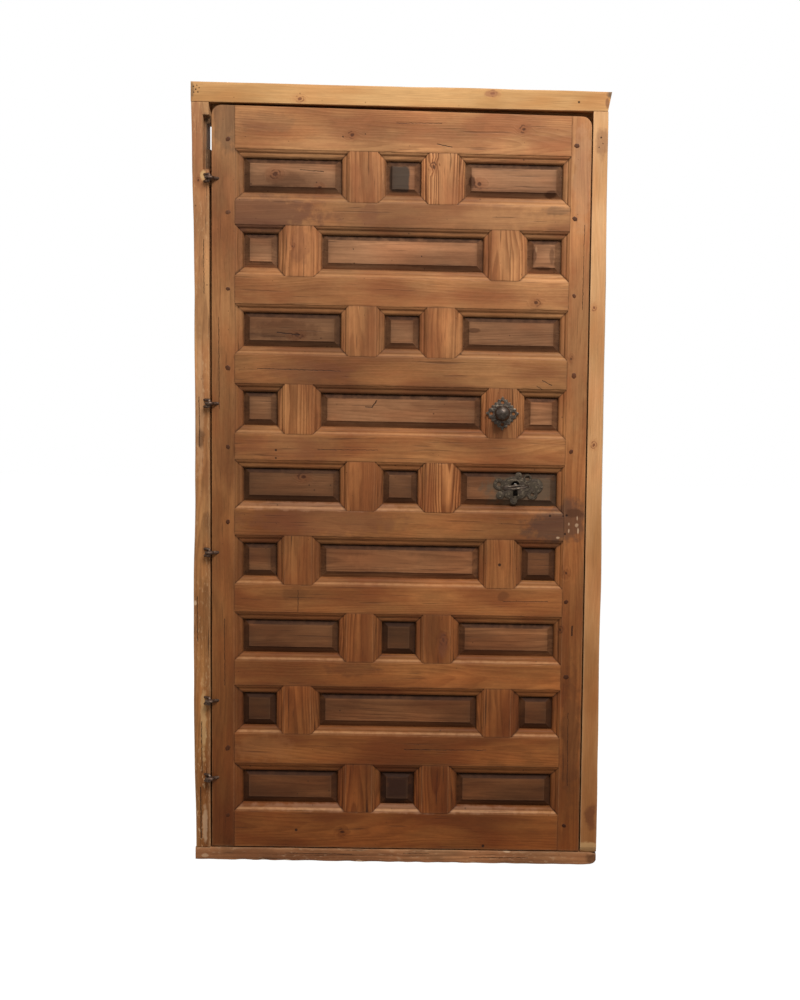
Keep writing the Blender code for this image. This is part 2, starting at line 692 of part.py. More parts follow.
def make_leaf_eye(name, height):
    # A ring round the staple's pin, with a shank driven slantwise into the leaf.
    bpy.ops.mesh.primitive_torus_add(
        major_radius=EYE_RING_RADIUS, minor_radius=EYE_WIRE_RADIUS, major_segments=28, minor_segments=12
    )
    ring = bpy.context.object
    ring.name = name
    ring.data.transform(Matrix.Translation((HINGE_AXIS_X, HINGE_AXIS_Y, height)))
    start = along_leaf_shank(EYE_RING_RADIUS, height)
    end = along_leaf_shank(EYE_SHANK_LENGTH, height)
    return combine(ring, "UNION", cylinder("shank", EYE_WIRE_RADIUS, start, end, 16))


def drill_leaf_eyes(stile):
    holes = []
    for height in hinge_heights():
        end = along_leaf_shank(EYE_SHANK_LENGTH + JOINT_GAP, height)
        start = along_leaf_shank(EYE_RING_RADIUS, height)
        holes.append(cylinder("hole", EYE_WIRE_RADIUS + JOINT_GAP, start, end, 16))
    return combine(stile, "DIFFERENCE", *holes)


def knob_place():
    return mullion_centres(KNOB_ROW)[1], row_middle(KNOB_ROW)


def knob_hole(radius):
    x, z = knob_place()
    start = (x, LEAF_FRONT - KNOB_STANDOFF, z)
    end = (x, LEAF_BACK + NUT_THICKNESS + SHANK_END + CUT_MARGIN, z)
    return cylinder("hole", radius, start, end)


def make_rosette():
    x, z = knob_place()
    hole = arc((0, 0), KNOB_SHANK_RADIUS + JOINT_GAP, 0, 345, 23)
    edge = scalloped(ROSETTE_HALF_DIAGONAL, ROSETTE_HALF_DIAGONAL, 1.15, ROSETTE_SCALLOPS, 0.05)
    loops = [edge, hole]
    for quarter in range(4):
        angle = math.radians(90 * quarter)
        reach = (KNOB_COLLAR_RADIUS + ROSETTE_HALF_DIAGONAL) / 2
        loops.append(arc((reach * math.cos(angle), reach * math.sin(angle)), PIERCING_RADIUS, 0, 330, 11))
    middle = LEAF_FRONT - JOINT_GAP - ROSETTE_THICKNESS / 2
    return outline("knob_rosette", loops, ROSETTE_THICKNESS, Matrix.Translation((x, middle, z)) @ FACING)


def make_knob():
    # A turned profile, spun about the knob's axis; heights are from the leaf's face outwards.
    foot = 2 * JOINT_GAP + ROSETTE_THICKNESS
    back = -LEAF_THICKNESS - JOINT_GAP - NUT_THICKNESS - SHANK_END
    ball = KNOB_STANDOFF
    start = -math.degrees(math.acos(KNOB_NECK_RADIUS / KNOB_RADIUS))
    profile = [(0, back), (KNOB_SHANK_RADIUS, back), (KNOB_SHANK_RADIUS, foot), (KNOB_COLLAR_RADIUS, foot)]
    profile.append((KNOB_COLLAR_RADIUS, foot + KNOB_COLLAR_HEIGHT / 2))
    profile.append((KNOB_NECK_RADIUS, foot + KNOB_COLLAR_HEIGHT))
    profile += arc((0, ball), KNOB_RADIUS, start, 82, 10)
    profile.append((0, ball + KNOB_RADIUS))
    mesh = bpy.data.meshes.new("knob")
    mesh.from_pydata([(x, 0, z) for x, z in profile], [(i, i + 1) for i in range(len(profile) - 1)], [])
    knob = add_object("knob", mesh)
    spin = knob.modifiers.new("spin", "SCREW")
    spin.steps = spin.render_steps = 24
    spin.use_merge_vertices = True
    spin.merge_threshold = 0.00001
    x, z = knob_place()
    return moved(frozen(knob), Matrix.Translation((x, LEAF_FRONT, z)) @ FACING)


def make_nut():
    x, z = knob_place()
    half = NUT_SIDE / 2
    front = LEAF_BACK + JOINT_GAP
    nut = box("knob_nut", (x - half, front, z - half), (x + half, front + NUT_THICKNESS, z + half))
    return combine(nut, "DIFFERENCE", knob_hole(KNOB_SHANK_RADIUS + JOINT_GAP))


def key_height():
    return row_middle(LOCK_ROW) + KEY_ABOVE_ROW


def keyhole_loop(gap):
    # Round head and straight slot below it, about the key's axis.
    radius = KEYHOLE_RADIUS + gap
    half = KEYHOLE_SLOT_WIDTH / 2 + gap
    lean = math.degrees(math.asin(half / radius))
    head = arc((0, 0), radius, 270 + lean, 630 - lean, 20)
    return [(half, -KEYHOLE_SLOT_LENGTH - gap), *head, (-half, -KEYHOLE_SLOT_LENGTH - gap)]


def ellipse(half_width, half_height, steps):
    angles = [2 * math.pi * i / steps for i in range(steps)]
    return [(half_width * math.cos(a), half_height * math.sin(a)) for a in angles]


def make_escutcheon():
    # A pierced plate: an oval body with round lobes, on the panel's raised field.
    face = LEAF_FRONT + PANEL_FIELD_DEPTH - JOINT_GAP
    place = Matrix.Translation((KEY_X, face - ESCUTCHEON_THICKNESS / 2, key_height())) @ FACING
    body = [(x, z - ESCUTCHEON_DROP) for x, z in ellipse(ESCUTCHEON_HALF_WIDTH, ESCUTCHEON_HALF_HEIGHT, 40)]
    plate = outline("escutcheon", [body], ESCUTCHEON_THICKNESS, place)
    holes = [outline("keyhole", [keyhole_loop(0)], ESCUTCHEON_THICKNESS + 2 * CUT_MARGIN, place)]
    for across, up, radius, piercing in ESCUTCHEON_LOBES:
        lobe = outline("lobe", [arc((across, up), radius, 0, 345, 23)], ESCUTCHEON_THICKNESS, place)
        plate = combine(plate, "UNION", lobe)
        if piercing:
            loop = arc((across, up), piercing, 0, 330, 11)
            holes.append(outline("piercing", [loop], ESCUTCHEON_THICKNESS + 2 * CUT_MARGIN, place))
    return combine(plate, "DIFFERENCE", *holes)


def case_right():
    return lock_edge(key_height()) - STOP_OVERLAP - CASE_END_GAP


def case_back():
    return LEAF_BACK + JOINT_GAP + CASE_DEPTH


def bolt_section(gap):
    # The bolt's slot through the case and into the jamb, or without a gap the bolt itself.
    middle = LEAF_BACK + JOINT_GAP + CASE_DEPTH / 2
    foot = key_height() + BOLT_ABOVE_KEY
    return {
        "front": middle - BOLT_THICKNESS / 2 - gap,
        "back": middle + BOLT_THICKNESS / 2 + gap,
        "foot": foot - gap,
        "top": foot + BOLT_HEIGHT + gap,
    }


def make_lock_case():
    # A box open towards the leaf, with a guide rib for the bolt's tail and a bearing hole for the key's tip.
    right = case_right()
    left = right - CASE_LENGTH
    front = LEAF_BACK + JOINT_GAP
    back = case_back()
    foot, top = row_span(LOCK_ROW)
    foot += MOULDING_WIDTH - CASE_LAP
    top -= MOULDING_WIDTH - CASE_LAP
    case = box("lock_case", (left, front, foot), (right, back, top))
    hollow = box(
        "hollow",
        (left + CASE_WALL, front - CUT_MARGIN, foot + CASE_WALL),
        (right - CASE_WALL, back - CASE_WALL, top - CASE_WALL),
    )
    case = combine(case, "DIFFERENCE", hollow)
    bolt = bolt_section(BOLT_CLEARANCE)
    rib_right = KEY_X - BOLT_NOTCH_BACK - BOLT_CLEARANCE
    rib = box(
        "rib",
        (rib_right - CASE_WALL, bolt["front"] - CASE_WALL, bolt["foot"] - CASE_WALL),
        (rib_right, back - CASE_WALL / 2, top - CASE_WALL / 2),
    )
    case = combine(case, "UNION", rib)
    slot = box(
        "slot",
        (rib_right - CASE_WALL - CUT_MARGIN, bolt["front"], bolt["foot"]),
        (right + CUT_MARGIN, bolt["back"], bolt["top"]),
    )
    case = combine(case, "DIFFERENCE", slot)
    start = (KEY_X, back - 2 * CASE_WALL, key_height())
    end = (KEY_X, back + CUT_MARGIN, key_height())
    return combine(case, "DIFFERENCE", cylinder("bearing", KEY_SHANK_RADIUS + JOINT_GAP, start, end))


def make_bolt():
    section = bolt_section(0)
    tip = case_right() + BOLT_SHOW
    bolt = box(
        "lock_bolt", (KEY_X - BOLT_TAIL, section["front"], section["foot"]), (tip, section["back"], section["top"])
    )
    notch = box(
        "notch",
        (KEY_X - BOLT_NOTCH_BACK, section["front"] - CUT_MARGIN, section["foot"] - CUT_MARGIN),
        (KEY_X + BOLT_NOTCH_FRONT, section["back"] + CUT_MARGIN, section["foot"] + BOLT_NOTCH_DEPTH),
    )
    return combine(bolt, "DIFFERENCE", notch)


def make_key():
    # About its own axis, which runs along Y, with the bow across and the bit to the left.
    bow_front = -KEY_NECK - 2 * KEY_BOW_HALF_DEPTH
    tip = case_back() - JOINT_GAP
    face = LEAF_FRONT
    key = cylinder("lock_key", KEY_SHANK_RADIUS, (0, face - KEY_NECK - KEY_BOW_WIRE_RADIUS / 2, 0), (0, tip, 0))
    middle = (bow_front - KEY_NECK) / 2 + face
    ring = []
    for i in range(32):
        angle = 2 * math.pi * i / 32
        back = KEY_BOW_HALF_DEPTH * math.cos(angle)
        drop = (KEY_BOW_HALF_DEPTH - back) * math.tan(math.radians(KEY_BOW_DROOP_DEGREES))
        ring.append((KEY_BOW_HALF_WIDTH * math.sin(angle), middle + back, -drop))
    bow = tube("bow", ring, KEY_BOW_WIRE_RADIUS, cyclic=True)
    key = combine(key, "UNION", bow)
    section = bolt_section(0)
    bit_middle = (section["front"] + section["back"]) / 2
    half = KEY_BIT_THICKNESS / 2
    bit = box(
        "bit", (-KEY_BIT_LENGTH, bit_middle - KEY_BIT_WIDTH / 2, -half), (0, bit_middle + KEY_BIT_WIDTH / 2, half)
    )
    return combine(key, "UNION", bit)


def paint(made, colour, roughness, metallic):
    material = bpy.data.materials.new(made.name)
    material.use_nodes = True
    shader = material.node_tree.nodes["Principled BSDF"]
    shader.inputs["Base Color"].default_value = (*colour, 1)
    shader.inputs["Roughness"].default_value = roughness
    shader.inputs["Metallic"].default_value = metallic
    material.diffuse_color = (*colour, 1)
    made.data.materials.clear()
    made.data.materials.append(material)
    made.data.shade_smooth()
    made.data.set_sharp_from_angle(angle=math.radians(SMOOTH_ANGLE_DEGREES))


def pivot(name, place):
    empty = add_object(name, None)
    empty.location = place
    return empty


def hang(pieces, parent):
    bpy.context.view_layer.update()
    for piece in pieces:
        piece.parent = parent
        piece.matrix_parent_inverse = parent.matrix_world.inverted()


def drilled_knob_mullion(pieces):
    # The knob's shank passes the mullion and the panel board behind its face.
    for name in (f"mullion_{KNOB_ROW}_right", f"panel_row_{KNOB_ROW}"):
        place = pieces[name].location.copy()
        solid = moved(pieces[name], Matrix.Translation(place))
        solid.location = (0, 0, 0)
        pieces[name] = combine(solid, "DIFFERENCE", knob_hole(KNOB_SHANK_RADIUS + JOINT_GAP))


def cut_panel_keyhole(pieces):
    name = f"panel_row_{LOCK_ROW}"
    place = pieces[name].location.copy()
    solid = moved(pieces[name], Matrix.Translation(place))
    solid.location = (0, 0, 0)
    depth = LEAF_THICKNESS + 2 * CUT_MARGIN
    middle = Matrix.Translation((KEY_X, (LEAF_FRONT + LEAF_BACK) / 2, key_height()))
    pieces[name] = combine(solid, "DIFFERENCE", outline("keyhole", [keyhole_loop(JOINT_GAP)], depth, middle @ FACING))


def main():
    clear_scene()
    leaf = make_leaf()
    leaf["hinge_stile"] = drill_leaf_eyes(leaf["hinge_stile"])
    drilled_knob_mullion(leaf)
    cut_panel_keyhole(leaf)
    iron = [make_rosette(), make_knob(), make_nut(), make_escutcheon(), make_lock_case()]
    jamb_eyes = []
    for number, height in enumerate(hinge_heights(), 1):
        jamb_eyes.append(make_jamb_eye(f"jamb_eye_{number}", height))
        iron.append(make_leaf_eye(f"leaf_eye_{number}", height))
    bolt = make_bolt()
    key = make_key()
    key.location = (KEY_X, 0, key_height())
    key.rotation_euler = (0, -math.radians(KEY_TILT_DEGREES), 0)
    frame = {"frame_head": make_head(), "hinge_jamb": make_hinge_jamb()}
    frame["lock_jamb"] = make_lock_jamb()
    frame["sill"] = make_sill()

    tones = {"frame_head": PINE_GOLD, "lock_jamb": PINE_GOLD, "hinge_jamb": PINE_GREY, "sill": PINE_GREY}
    for name, piece in (*frame.items(), *leaf.items()):
        tone = PINE_DARK if name.startswith("panel") else tones.get(name, PINE)
        paint(piece, tone, WOOD_ROUGHNESS, 0)
    for piece in (*iron, *jamb_eyes, bolt, key):
        paint(piece, IRON, IRON_ROUGHNESS, 1)

    leaf_pivot = pivot("leaf_pivot", (HINGE_AXIS_X, HINGE_AXIS_Y, LEAF_FOOT))
    hang([*leaf.values(), *iron, bolt, key], leaf_pivot)
    door = bpy.data.collections.new("panelled_door")
    bpy.context.scene.collection.children.link(door)
    for piece in (*frame.values(), *leaf.values(), *iron, *jamb_eyes, bolt, key, leaf_pivot):
        bpy.context.scene.collection.objects.unlink(piece)
        door.objects.link(piece)


main()
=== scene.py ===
import functools
import math
import bmesh
import bpy
import numpy as np
from mathutils import Matrix, Vector


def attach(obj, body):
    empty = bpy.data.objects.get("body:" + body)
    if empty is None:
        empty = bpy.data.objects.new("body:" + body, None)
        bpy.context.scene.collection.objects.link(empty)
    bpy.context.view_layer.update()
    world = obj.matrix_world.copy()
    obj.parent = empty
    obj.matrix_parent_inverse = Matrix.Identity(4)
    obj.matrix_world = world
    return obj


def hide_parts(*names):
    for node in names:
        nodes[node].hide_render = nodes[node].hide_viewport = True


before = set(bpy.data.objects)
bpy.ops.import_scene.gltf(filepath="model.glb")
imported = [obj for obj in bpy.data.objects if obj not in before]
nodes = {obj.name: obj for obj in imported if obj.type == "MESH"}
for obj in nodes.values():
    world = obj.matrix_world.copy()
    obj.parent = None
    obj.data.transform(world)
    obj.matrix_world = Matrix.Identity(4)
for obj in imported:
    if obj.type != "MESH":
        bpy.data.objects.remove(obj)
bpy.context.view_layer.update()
print("frame loaded:", len(nodes), "nodes")

# Sizes of the leaf in metres, +X towards the lock, +Y away from the viewer, +Z up
leaf = {
    "front": -0.038, "back": 0.002, "foot": 0.039, "top": 2.006, "topFall": 0.008,
    "hingeEdge": -0.4995, "lockEdgeTop": 0.491, "lockEdgeFoot": 0.498, "cornerRadius": 0.026,
    "halfPanelling": 0.4395, "rowOpening": 0.132, "mullionFace": 0.073,
    "oddMullion": 0.1038, "evenMullion": 0.2702, "jointGap": 0.00002,
    "railFaces": (0.110, 0.062, 0.073, 0.076, 0.069, 0.069, 0.074, 0.067, 0.081, 0.098),
    "gridAlong": 0.007, "gridAcross": 0.006, "cornerAngles": (20, 40, 55, 67, 77, 85),
}
rowCount = len(leaf["railFaces"]) - 1


def rowSpan(row):
    # Foot and top of a row of openings, rows counted from 1 at the top
    top = leaf["top"] - sum(leaf["railFaces"][:row]) - (row - 1) * leaf["rowOpening"]
    return top - leaf["rowOpening"], top


def mullionCentres(row):
    offset = leaf["oddMullion"] if row % 2 else leaf["evenMullion"]
    return -offset, offset


def rowOpenings(row):
    # Left and right ends of the three openings of a row
    half = leaf["mullionFace"] / 2
    left, right = mullionCentres(row)
    side = leaf["halfPanelling"]
    return [(-side, left - half), (left + half, right - half), (right + half, side)]


def lockEdge(height):
    # The lock edge leans evenly between foot and top
    share = (height - leaf["foot"]) / (leaf["top"] - leaf["foot"])
    return leaf["lockEdgeFoot"] + share * (leaf["lockEdgeTop"] - leaf["lockEdgeFoot"])


def leafFall(x):
    # How far the leaf's top edge has dropped at x
    return leaf["topFall"] * (x - leaf["hingeEdge"]) / (leaf["lockEdgeTop"] - leaf["hingeEdge"])


def between(values, span):
    return (values > span[0]) & (values < span[1])


def fading(distance, reach):
    # One at no distance, falling away over the reach
    return np.exp(-distance / reach)


def circle(sides):
    # Angles evenly round a full turn
    return np.linspace(0, 2 * np.pi, sides, endpoint=False)


def ripple(u, v, seed, size):
    # Sum of eight plane waves with seeded headings and phases, about -1 to 1
    draw = np.random.default_rng(seed)
    waves = draw.uniform(0, np.pi, 8), draw.uniform(0, 6.28, 8), draw.uniform(0.6, 1.7, 8)
    total = 0
    for turn, phase, pace in zip(*waves):
        total = total + np.sin((u * np.cos(turn) + v * np.sin(turn)) * pace * 2 * np.pi / size + phase)
    return total / 4


def spread(start, end, step, stops=(), near=(0.0007, 0.0018, 0.0036)):
    # Even samples from start to end, with the stops and a few close to both ends put in
    fixed = [start, end, *stops]
    fixed += [start + offset for offset in near] + [end - offset for offset in near]
    fixed = np.unique(np.round(fixed, 7))
    even = np.linspace(start, end, max(2, round((end - start) / step) + 1))
    clear = np.abs(even[:, None] - fixed[None, :]).min(1) > step * 0.3
    return np.sort(np.concatenate([fixed, even[clear]]))


def linked(name, data):
    # An object for the data, put into the scene
    thing = bpy.data.objects.new(name, data)
    bpy.context.scene.collection.objects.link(thing)
    return thing


def addPiece(name, points, quads, triangles, material, body, slot, replaced=(), marks=None, sharpAngle=38):
    # Arrays of corners and faces put into a mesh, smooth but for edges sharper than the angle
    mesh = bpy.data.meshes.new(name)
    mesh.vertices.add(len(points))
    mesh.vertices.foreach_set("co", np.asarray(points, np.float32).ravel())
    corners = np.concatenate([quads.ravel(), triangles.ravel()]).astype(np.int32)
    starts = np.concatenate([np.arange(len(quads)) * 4, len(quads) * 4 + np.arange(len(triangles)) * 3])
    mesh.loops.add(len(corners))
    mesh.loops.foreach_set("vertex_index", corners)
    mesh.polygons.add(len(starts))
    mesh.polygons.foreach_set("loop_start", starts.astype(np.int32))
    mesh.update(calc_edges=True)
    for key, values in (marks or {}).items():
        layer = mesh.attributes.new(key, "FLOAT", "POINT")
        layer.data.foreach_set("value", np.broadcast_to(values, len(points)).astype(np.float32))
    mesh.shade_smooth()
    mesh.set_sharp_from_angle(angle=math.radians(sharpAngle))
    mesh.materials.append(material)
    piece = linked(name, mesh)
    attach(piece, body)
    if replaced:
        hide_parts(*replaced)


noTriangles = np.zeros((0, 3), int)
noQuads = np.zeros((0, 4), int)


def outward(points, quads, triangles):
    # Turns all faces round where the volume that they enclose comes out negative
    halves = np.concatenate([quads[:, [0, 1, 2]], quads[:, [0, 2, 3]], triangles])
    a, b, c = points[halves].transpose(1, 0, 2)
    if (a * np.cross(b, c)).sum() < 0:
        return points, quads[:, ::-1], triangles[:, ::-1]
    return points, quads, triangles


def joined(shapes):
    # Several shapes as one set of corners and faces
    starts = np.cumsum([0] + [len(shape[0]) for shape in shapes])
    points = np.concatenate([shape[0] for shape in shapes])
    quads = np.concatenate([shape[1] + start for shape, start in zip(shapes, starts)])
    triangles = np.concatenate([shape[2] + start for shape, start in zip(shapes, starts)])
    return points, quads, triangles


def skin(rings, looped=False):
    # Faces between rings of points; the two ends get fans unless the last ring leads back to the first
    stations, sides = rings.shape[:2]
    index = np.arange(stations * sides).reshape(stations, sides)
    wide = np.concatenate([index, index[:, :1]], axis=1)
    points = rings.reshape(-1, 3)
    if looped:
        return outward(points, gridQuads(np.concatenate([wide, wide[:1]])), noTriangles)
    hubs = rings[[0, -1]].mean(1)
    first = np.stack([np.full(sides, index.size), np.roll(index[0], -1), index[0]], 1)
    last = np.stack([np.full(sides, index.size + 1), index[-1], np.roll(index[-1], -1)], 1)
    return outward(np.concatenate([points, hubs]), gridQuads(wide), np.concatenate([first, last]))


def bar(path, radii, normal, looped=False, sides=14):
    # A round bar along a flat path, its rings spanned by the plane's normal and the direction across
    path = np.asarray(path, float)
    ahead = np.roll(path, -1, 0) - np.roll(path, 1, 0) if looped else np.gradient(path, axis=0)
    across = np.cross(ahead, normal)
    across /= np.linalg.norm(across, axis=1, keepdims=True)
    angle = circle(sides)[:, None]
    rings = np.cos(angle) * across[:, None] + np.sin(angle) * np.array(normal)
    return skin(path[:, None] + np.broadcast_to(radii, len(path))[:, None, None] * rings, looped)


def turned(centre, profile, sides=40, looped=False):
    # A profile of radius and height above a face spun about an axis that points at the viewer
    radius, height = np.asarray(profile, float).T[..., None]
    x = centre[0] + radius * np.cos(circle(sides))
    z = centre[2] + radius * np.sin(circle(sides))
    return skin(np.stack([x, np.broadcast_to(centre[1] - height, x.shape), z], -1), looped)


def arc(centre, radius, start, end, steps):
    # Points on an arc, angles in degrees
    angle = np.radians(np.linspace(start, end, steps))
    return np.stack([centre[0] + radius * np.cos(angle), centre[1] + radius * np.sin(angle)], 1)


def plate(loops, thickness, bevel, centre):
    # Flat curves, filled, thickened and bevelled, made a mesh and stood up to face the viewer
    data = bpy.data.curves.new("plate", "CURVE")
    data.dimensions = "2D"
    data.fill_mode = "BOTH"
    data.extrude = thickness / 2 - bevel
    data.bevel_depth = bevel
    data.bevel_resolution = 1
    data.offset = -bevel
    for loop in loops:
        spline = data.splines.new("POLY")
        spline.points.add(len(loop) - 1)
        flat = np.column_stack([loop, np.zeros(len(loop)), np.ones(len(loop))])
        spline.points.foreach_set("co", flat.ravel())
        spline.use_cyclic_u = True
    holder = bpy.data.objects.new("plate", data)
    mesh = bpy.data.meshes.new_from_object(holder)
    shape = bmesh.new()
    shape.from_mesh(mesh)
    bmesh.ops.remove_doubles(shape, verts=shape.verts, dist=0.000002)
    bmesh.ops.triangulate(shape, faces=shape.faces)
    shape.to_mesh(mesh)
    shape.free()
    points = np.empty(len(mesh.vertices) * 3)
    mesh.vertices.foreach_get("co", points)
    corners = np.empty(len(mesh.loops), int)
    mesh.loops.foreach_get("vertex_index", corners)
    points = points.reshape(-1, 3)[:, [0, 2, 1]] * (1, -1, 1) + np.array(centre)
    bpy.data.objects.remove(holder)
    bpy.data.curves.remove(data)
    bpy.data.meshes.remove(mesh)
    return outward(points, noQuads, corners.reshape(-1, 3))


def gridQuads(index):
    # Quads of a grid of vertex numbers
    return np.stack([index[:-1, :-1], index[:-1, 1:], index[1:, 1:], index[1:, :-1]], -1).reshape(-1, 4)


def facingViewer(points, quads):
    # Turns round each quad that runs clockwise as seen from the front
    x, z = points[quads][..., 0], points[quads][..., 2]
    area = (x * np.roll(z, -1, 1) - np.roll(x, -1, 1) * z).sum(1)
    return np.where((area < 0)[:, None], quads[:, ::-1], quads)


def closedBoard(points, quads, marks, backPlane):
    # The front, its flat copy at the back, and a wall along every edge that only one face has
    count = len(points)
    quads = facingViewer(points, quads)
    back = points.copy()
    back[:, 1] = backPlane
    sides = np.concatenate([quads[:, [0, 1]], quads[:, [1, 2]], quads[:, [2, 3]], quads[:, [3, 0]]])
    low, high = sides.min(1), sides.max(1)
    first, uses = np.unique(low * count + high, return_index=True, return_counts=True)[1:]
    rim = sides[first[uses == 1]]
    walls = np.stack([rim[:, 1], rim[:, 0], rim[:, 0] + count, rim[:, 1] + count], 1)
    quads = np.concatenate([quads, quads[:, ::-1] + count, walls])
    marks = {key: np.concatenate([values, values * wearing["backShare"]]) for key, values in marks.items()}
    return np.concatenate([points, back]), quads, marks


# Moulding round every opening: a rounded bead, a step down, then a fillet that rolls over into the
# groove, as shares of its width and depth from the face, with how much dirt and painted shade lies there,
# the shade deepest in the groove, and how much the wood is rubbed paler, partly as a painted highlight
moulding = {
    "width": 0.0216, "depth": 0.017, "wall": 0.0226, "wallLean": 0.0001,
    "profile": np.array((
        (0.000, 0.00, 0.0, 0.4), (0.015, 0.05, 0.15, 0.2), (0.035, 0.10, 0.3, 0.1),
        (0.060, 0.115, 0.3, 0.1), (0.110, 0.125, 0.2, 0.3), (0.180, 0.16, 0.1, 0.5),
        (0.250, 0.215, 0.1, 0.7), (0.310, 0.29, 0.1, 0.7), (0.355, 0.375, 0.15, 0.6),
        (0.385, 0.46, 0.2, 0.6), (0.405, 0.505, 0.25, 0.5), (0.430, 0.51, 0.2, 0.4),
        (0.480, 0.505, 0.2, 0.2), (0.560, 0.51, 0.2, 0.1), (0.650, 0.535, 0.25, 0.1),
        (0.740, 0.57, 0.3, 0.1), (0.820, 0.62, 0.35, 0.0), (0.890, 0.69, 0.4, 0.0),
        (0.945, 0.80, 0.5, 0.0), (0.985, 0.98, 0.6, 0.0),
    )),
    # Shares of dirt and painted shade, of rubbing and painted highlight, and of dirt and painted shade on
    # the groove's wall for the moulding above an opening, below it, to its right and to its left. The
    # shares differ with the way each moulding faces the light, and the moulding below, which faces up, gets
    # the painted highlight
    "soilingAndShading": {("X", -1): (1.2, 0.0, 0.3), ("X", 1): (0.9, 1.1, 0.2),
                ("Z", -1): (0.9, 0.06, 0.15), ("Z", 1): (1.5, 0.12, 0.8)},
    # Painted shade on the face where it turns down into the moulding below it, and dark mitre joints
    "underside": 0.6, "mitre": 1.4,
}
wearing = {
    "arris": 0.00022, "nick": 0.0017, "nickSize": 0.055, "nickFrom": 0.6, "nickFull": 0.8, "reach": 0.0014,
    "wave": 0.00028, "waveSize": 0.16, "creaseReach": 0.0011, "undersideReach": 0.0028, "rubReach": 0.0016,
    "mitreReach": 0.0014, "faceRub": 0.35, "backShare": 0.4, "railLift": 0.0003, "mullionLift": 0.0004,
    "railPace": 1.7, "mullionPace": 2.3, "mouldingFade": 1.5,
}


def surfaceDepth(u, v, seed):
    # Slow hand-planed waves over a face
    return wearing["wave"] * ripple(u, v, seed, wearing["waveSize"])


def arrisDepth(u, v, distance, seed):
    # How far an edge is rounded off, deeper where a nick falls, fading away from the edge
    over = ripple(u, v, seed + 50, wearing["nickSize"]) - wearing["nickFrom"]
    nick = np.clip(over / wearing["nickFull"], 0, 1) * wearing["nick"]
    return (wearing["arris"] + nick) * fading(distance, wearing["reach"])


def memberFront(axis, ends, edges, cuts, seed, jointEnds=(1, 1), jointEdges=(1, 1), bend=None,
                fineStops=(), lift=0):
    # A flat face with u along the grain and v across, and along each cut of its edges a moulding whose
    # strip narrows by its own offset at both ends, so that neighbours meet in mitres
    stops = [value for _, start, end in cuts for value in (start, end)]
    us = spread(*ends, leaf["gridAlong"], [*stops, *fineStops])
    vs = spread(*edges, leaf["gridAcross"])
    u, v = np.meshgrid(us, vs)
    covered = {cut: between(us, (cut[1] - 1e-9, cut[2] + 1e-9)) for cut in cuts}
    moulded = {-1: np.zeros(len(us), bool), 1: np.zeros(len(us), bool)}
    for cut, on in covered.items():
        moulded[cut[0]] |= on
    gaps = (u - ends[0], ends[1] - u, v - edges[0], edges[1] - v)
    near = np.minimum.reduce(gaps)
    jointed = (*jointEnds, jointEdges[0] * ~moulded[-1], jointEdges[1] * ~moulded[1])
    crease = np.max([on * fading(gap, wearing["creaseReach"]) for on, gap in zip(jointed, gaps)], axis=0)
    # Painted shade on a rail's face just above the moulding below it, which faces down
    if axis == "X":
        underside = moulding["underside"] * fading(gaps[2], wearing["undersideReach"])
        crease = np.maximum(crease, underside * moulded[-1])
    # Paler near the face's edges: rubbed wood and a painted highlight along the arris
    rubbedAndHighlight = wearing["faceRub"] * fading(near, wearing["rubReach"]) * np.clip(1 - 2 * crease, 0, 1)
    index = np.arange(u.size).reshape(u.shape)
    columns = [[values.ravel() for values in (u, v, arrisDepth(u, v, near, seed), crease, rubbedAndHighlight)]]
    quads = [gridQuads(index)]
    used = u.size
    width, fall = moulding["width"], moulding["depth"]
    offsets, depths, dirtAndShade, rub = moulding["profile"].T[:, 1:, None]
    offsets = np.concatenate([offsets * width, [[width], [width + moulding["wallLean"]]]])
    depths = np.concatenate([depths * fall, [[fall], [moulding["wall"]]]])
    rub = np.concatenate([rub, [[0], [0]]])
    for (side, start, end), on in covered.items():
        within = np.flatnonzero(on)
        share = (us[within] - start) / (end - start)
        su = start + offsets + share * (end - start - 2 * offsets)
        sv = np.broadcast_to(edges[(side + 1) // 2] + side * offsets, su.shape)
        sd = depths + arrisDepth(su, sv, wearing["mouldingFade"] * offsets, seed)
        mitre = fading(np.minimum(su - start - offsets, end - offsets - su), wearing["mitreReach"])
        grid = used + np.arange(su.size).reshape(su.shape)
        used += su.size
        first = index[-1 if side > 0 else 0, within]
        quads.append(gridQuads(np.concatenate([first[None, :], grid])))
        # Dirt and painted shade by side, deepest in the groove and on its wall; rubbing and a painted
        # highlight mostly on the moulding below an opening, which faces up
        dirtAndShadeShare, rubAndHighlightShare, wallDirtAndShade = moulding["soilingAndShading"][axis, side]
        soiledAndShaded = np.concatenate([dirtAndShade * dirtAndShadeShare, [[wallDirtAndShade], [wallDirtAndShade]]])
        soiledAndShaded = np.maximum(soiledAndShaded, moulding["mitre"] * mitre)
        columns.append([values.ravel() for values in (su, sv, sd, soiledAndShaded, rubAndHighlightShare * rub * (1 - mitre))])
    u, v, depth, crease, rubbedAndHighlight = np.concatenate([np.array(column) for column in columns], axis=1)
    depth = depth + surfaceDepth(u, v, seed) + lift
    if bend:
        u, v = bend(u, v)
    x, z = (u, v) if axis == "X" else (v, u)
    points = np.stack([x, leaf["front"] + depth, z], 1)
    return points, np.concatenate(quads), {"crease": crease, "wear": rubbedAndHighlight}


def boardMarks(seed, across, tone=None):
    # Each board's own shade, -1 to 1, where its grain starts, and where its heart lies across it
    draw = np.random.default_rng(seed + 900)
    shade, start, aside = draw.uniform(-1, 1), draw.uniform(0, 10), draw.uniform(-0.025, 0.025)
    heart = (np.min(across) + np.max(across)) / 2 + aside
    return {"tone": shade if tone is None else tone, "seed": start, "heart": heart}


def addMember(name, axis, material, seed, front, tone=None):
    points, quads, marks = closedBoard(*front, leaf["back"])
    own = boardMarks(seed, points[:, 2 if axis == "X" else 0], tone)
    addPiece(name, points, quads, noTriangles, material, "leaf", "leaf_pine", [name], {**marks, **own})


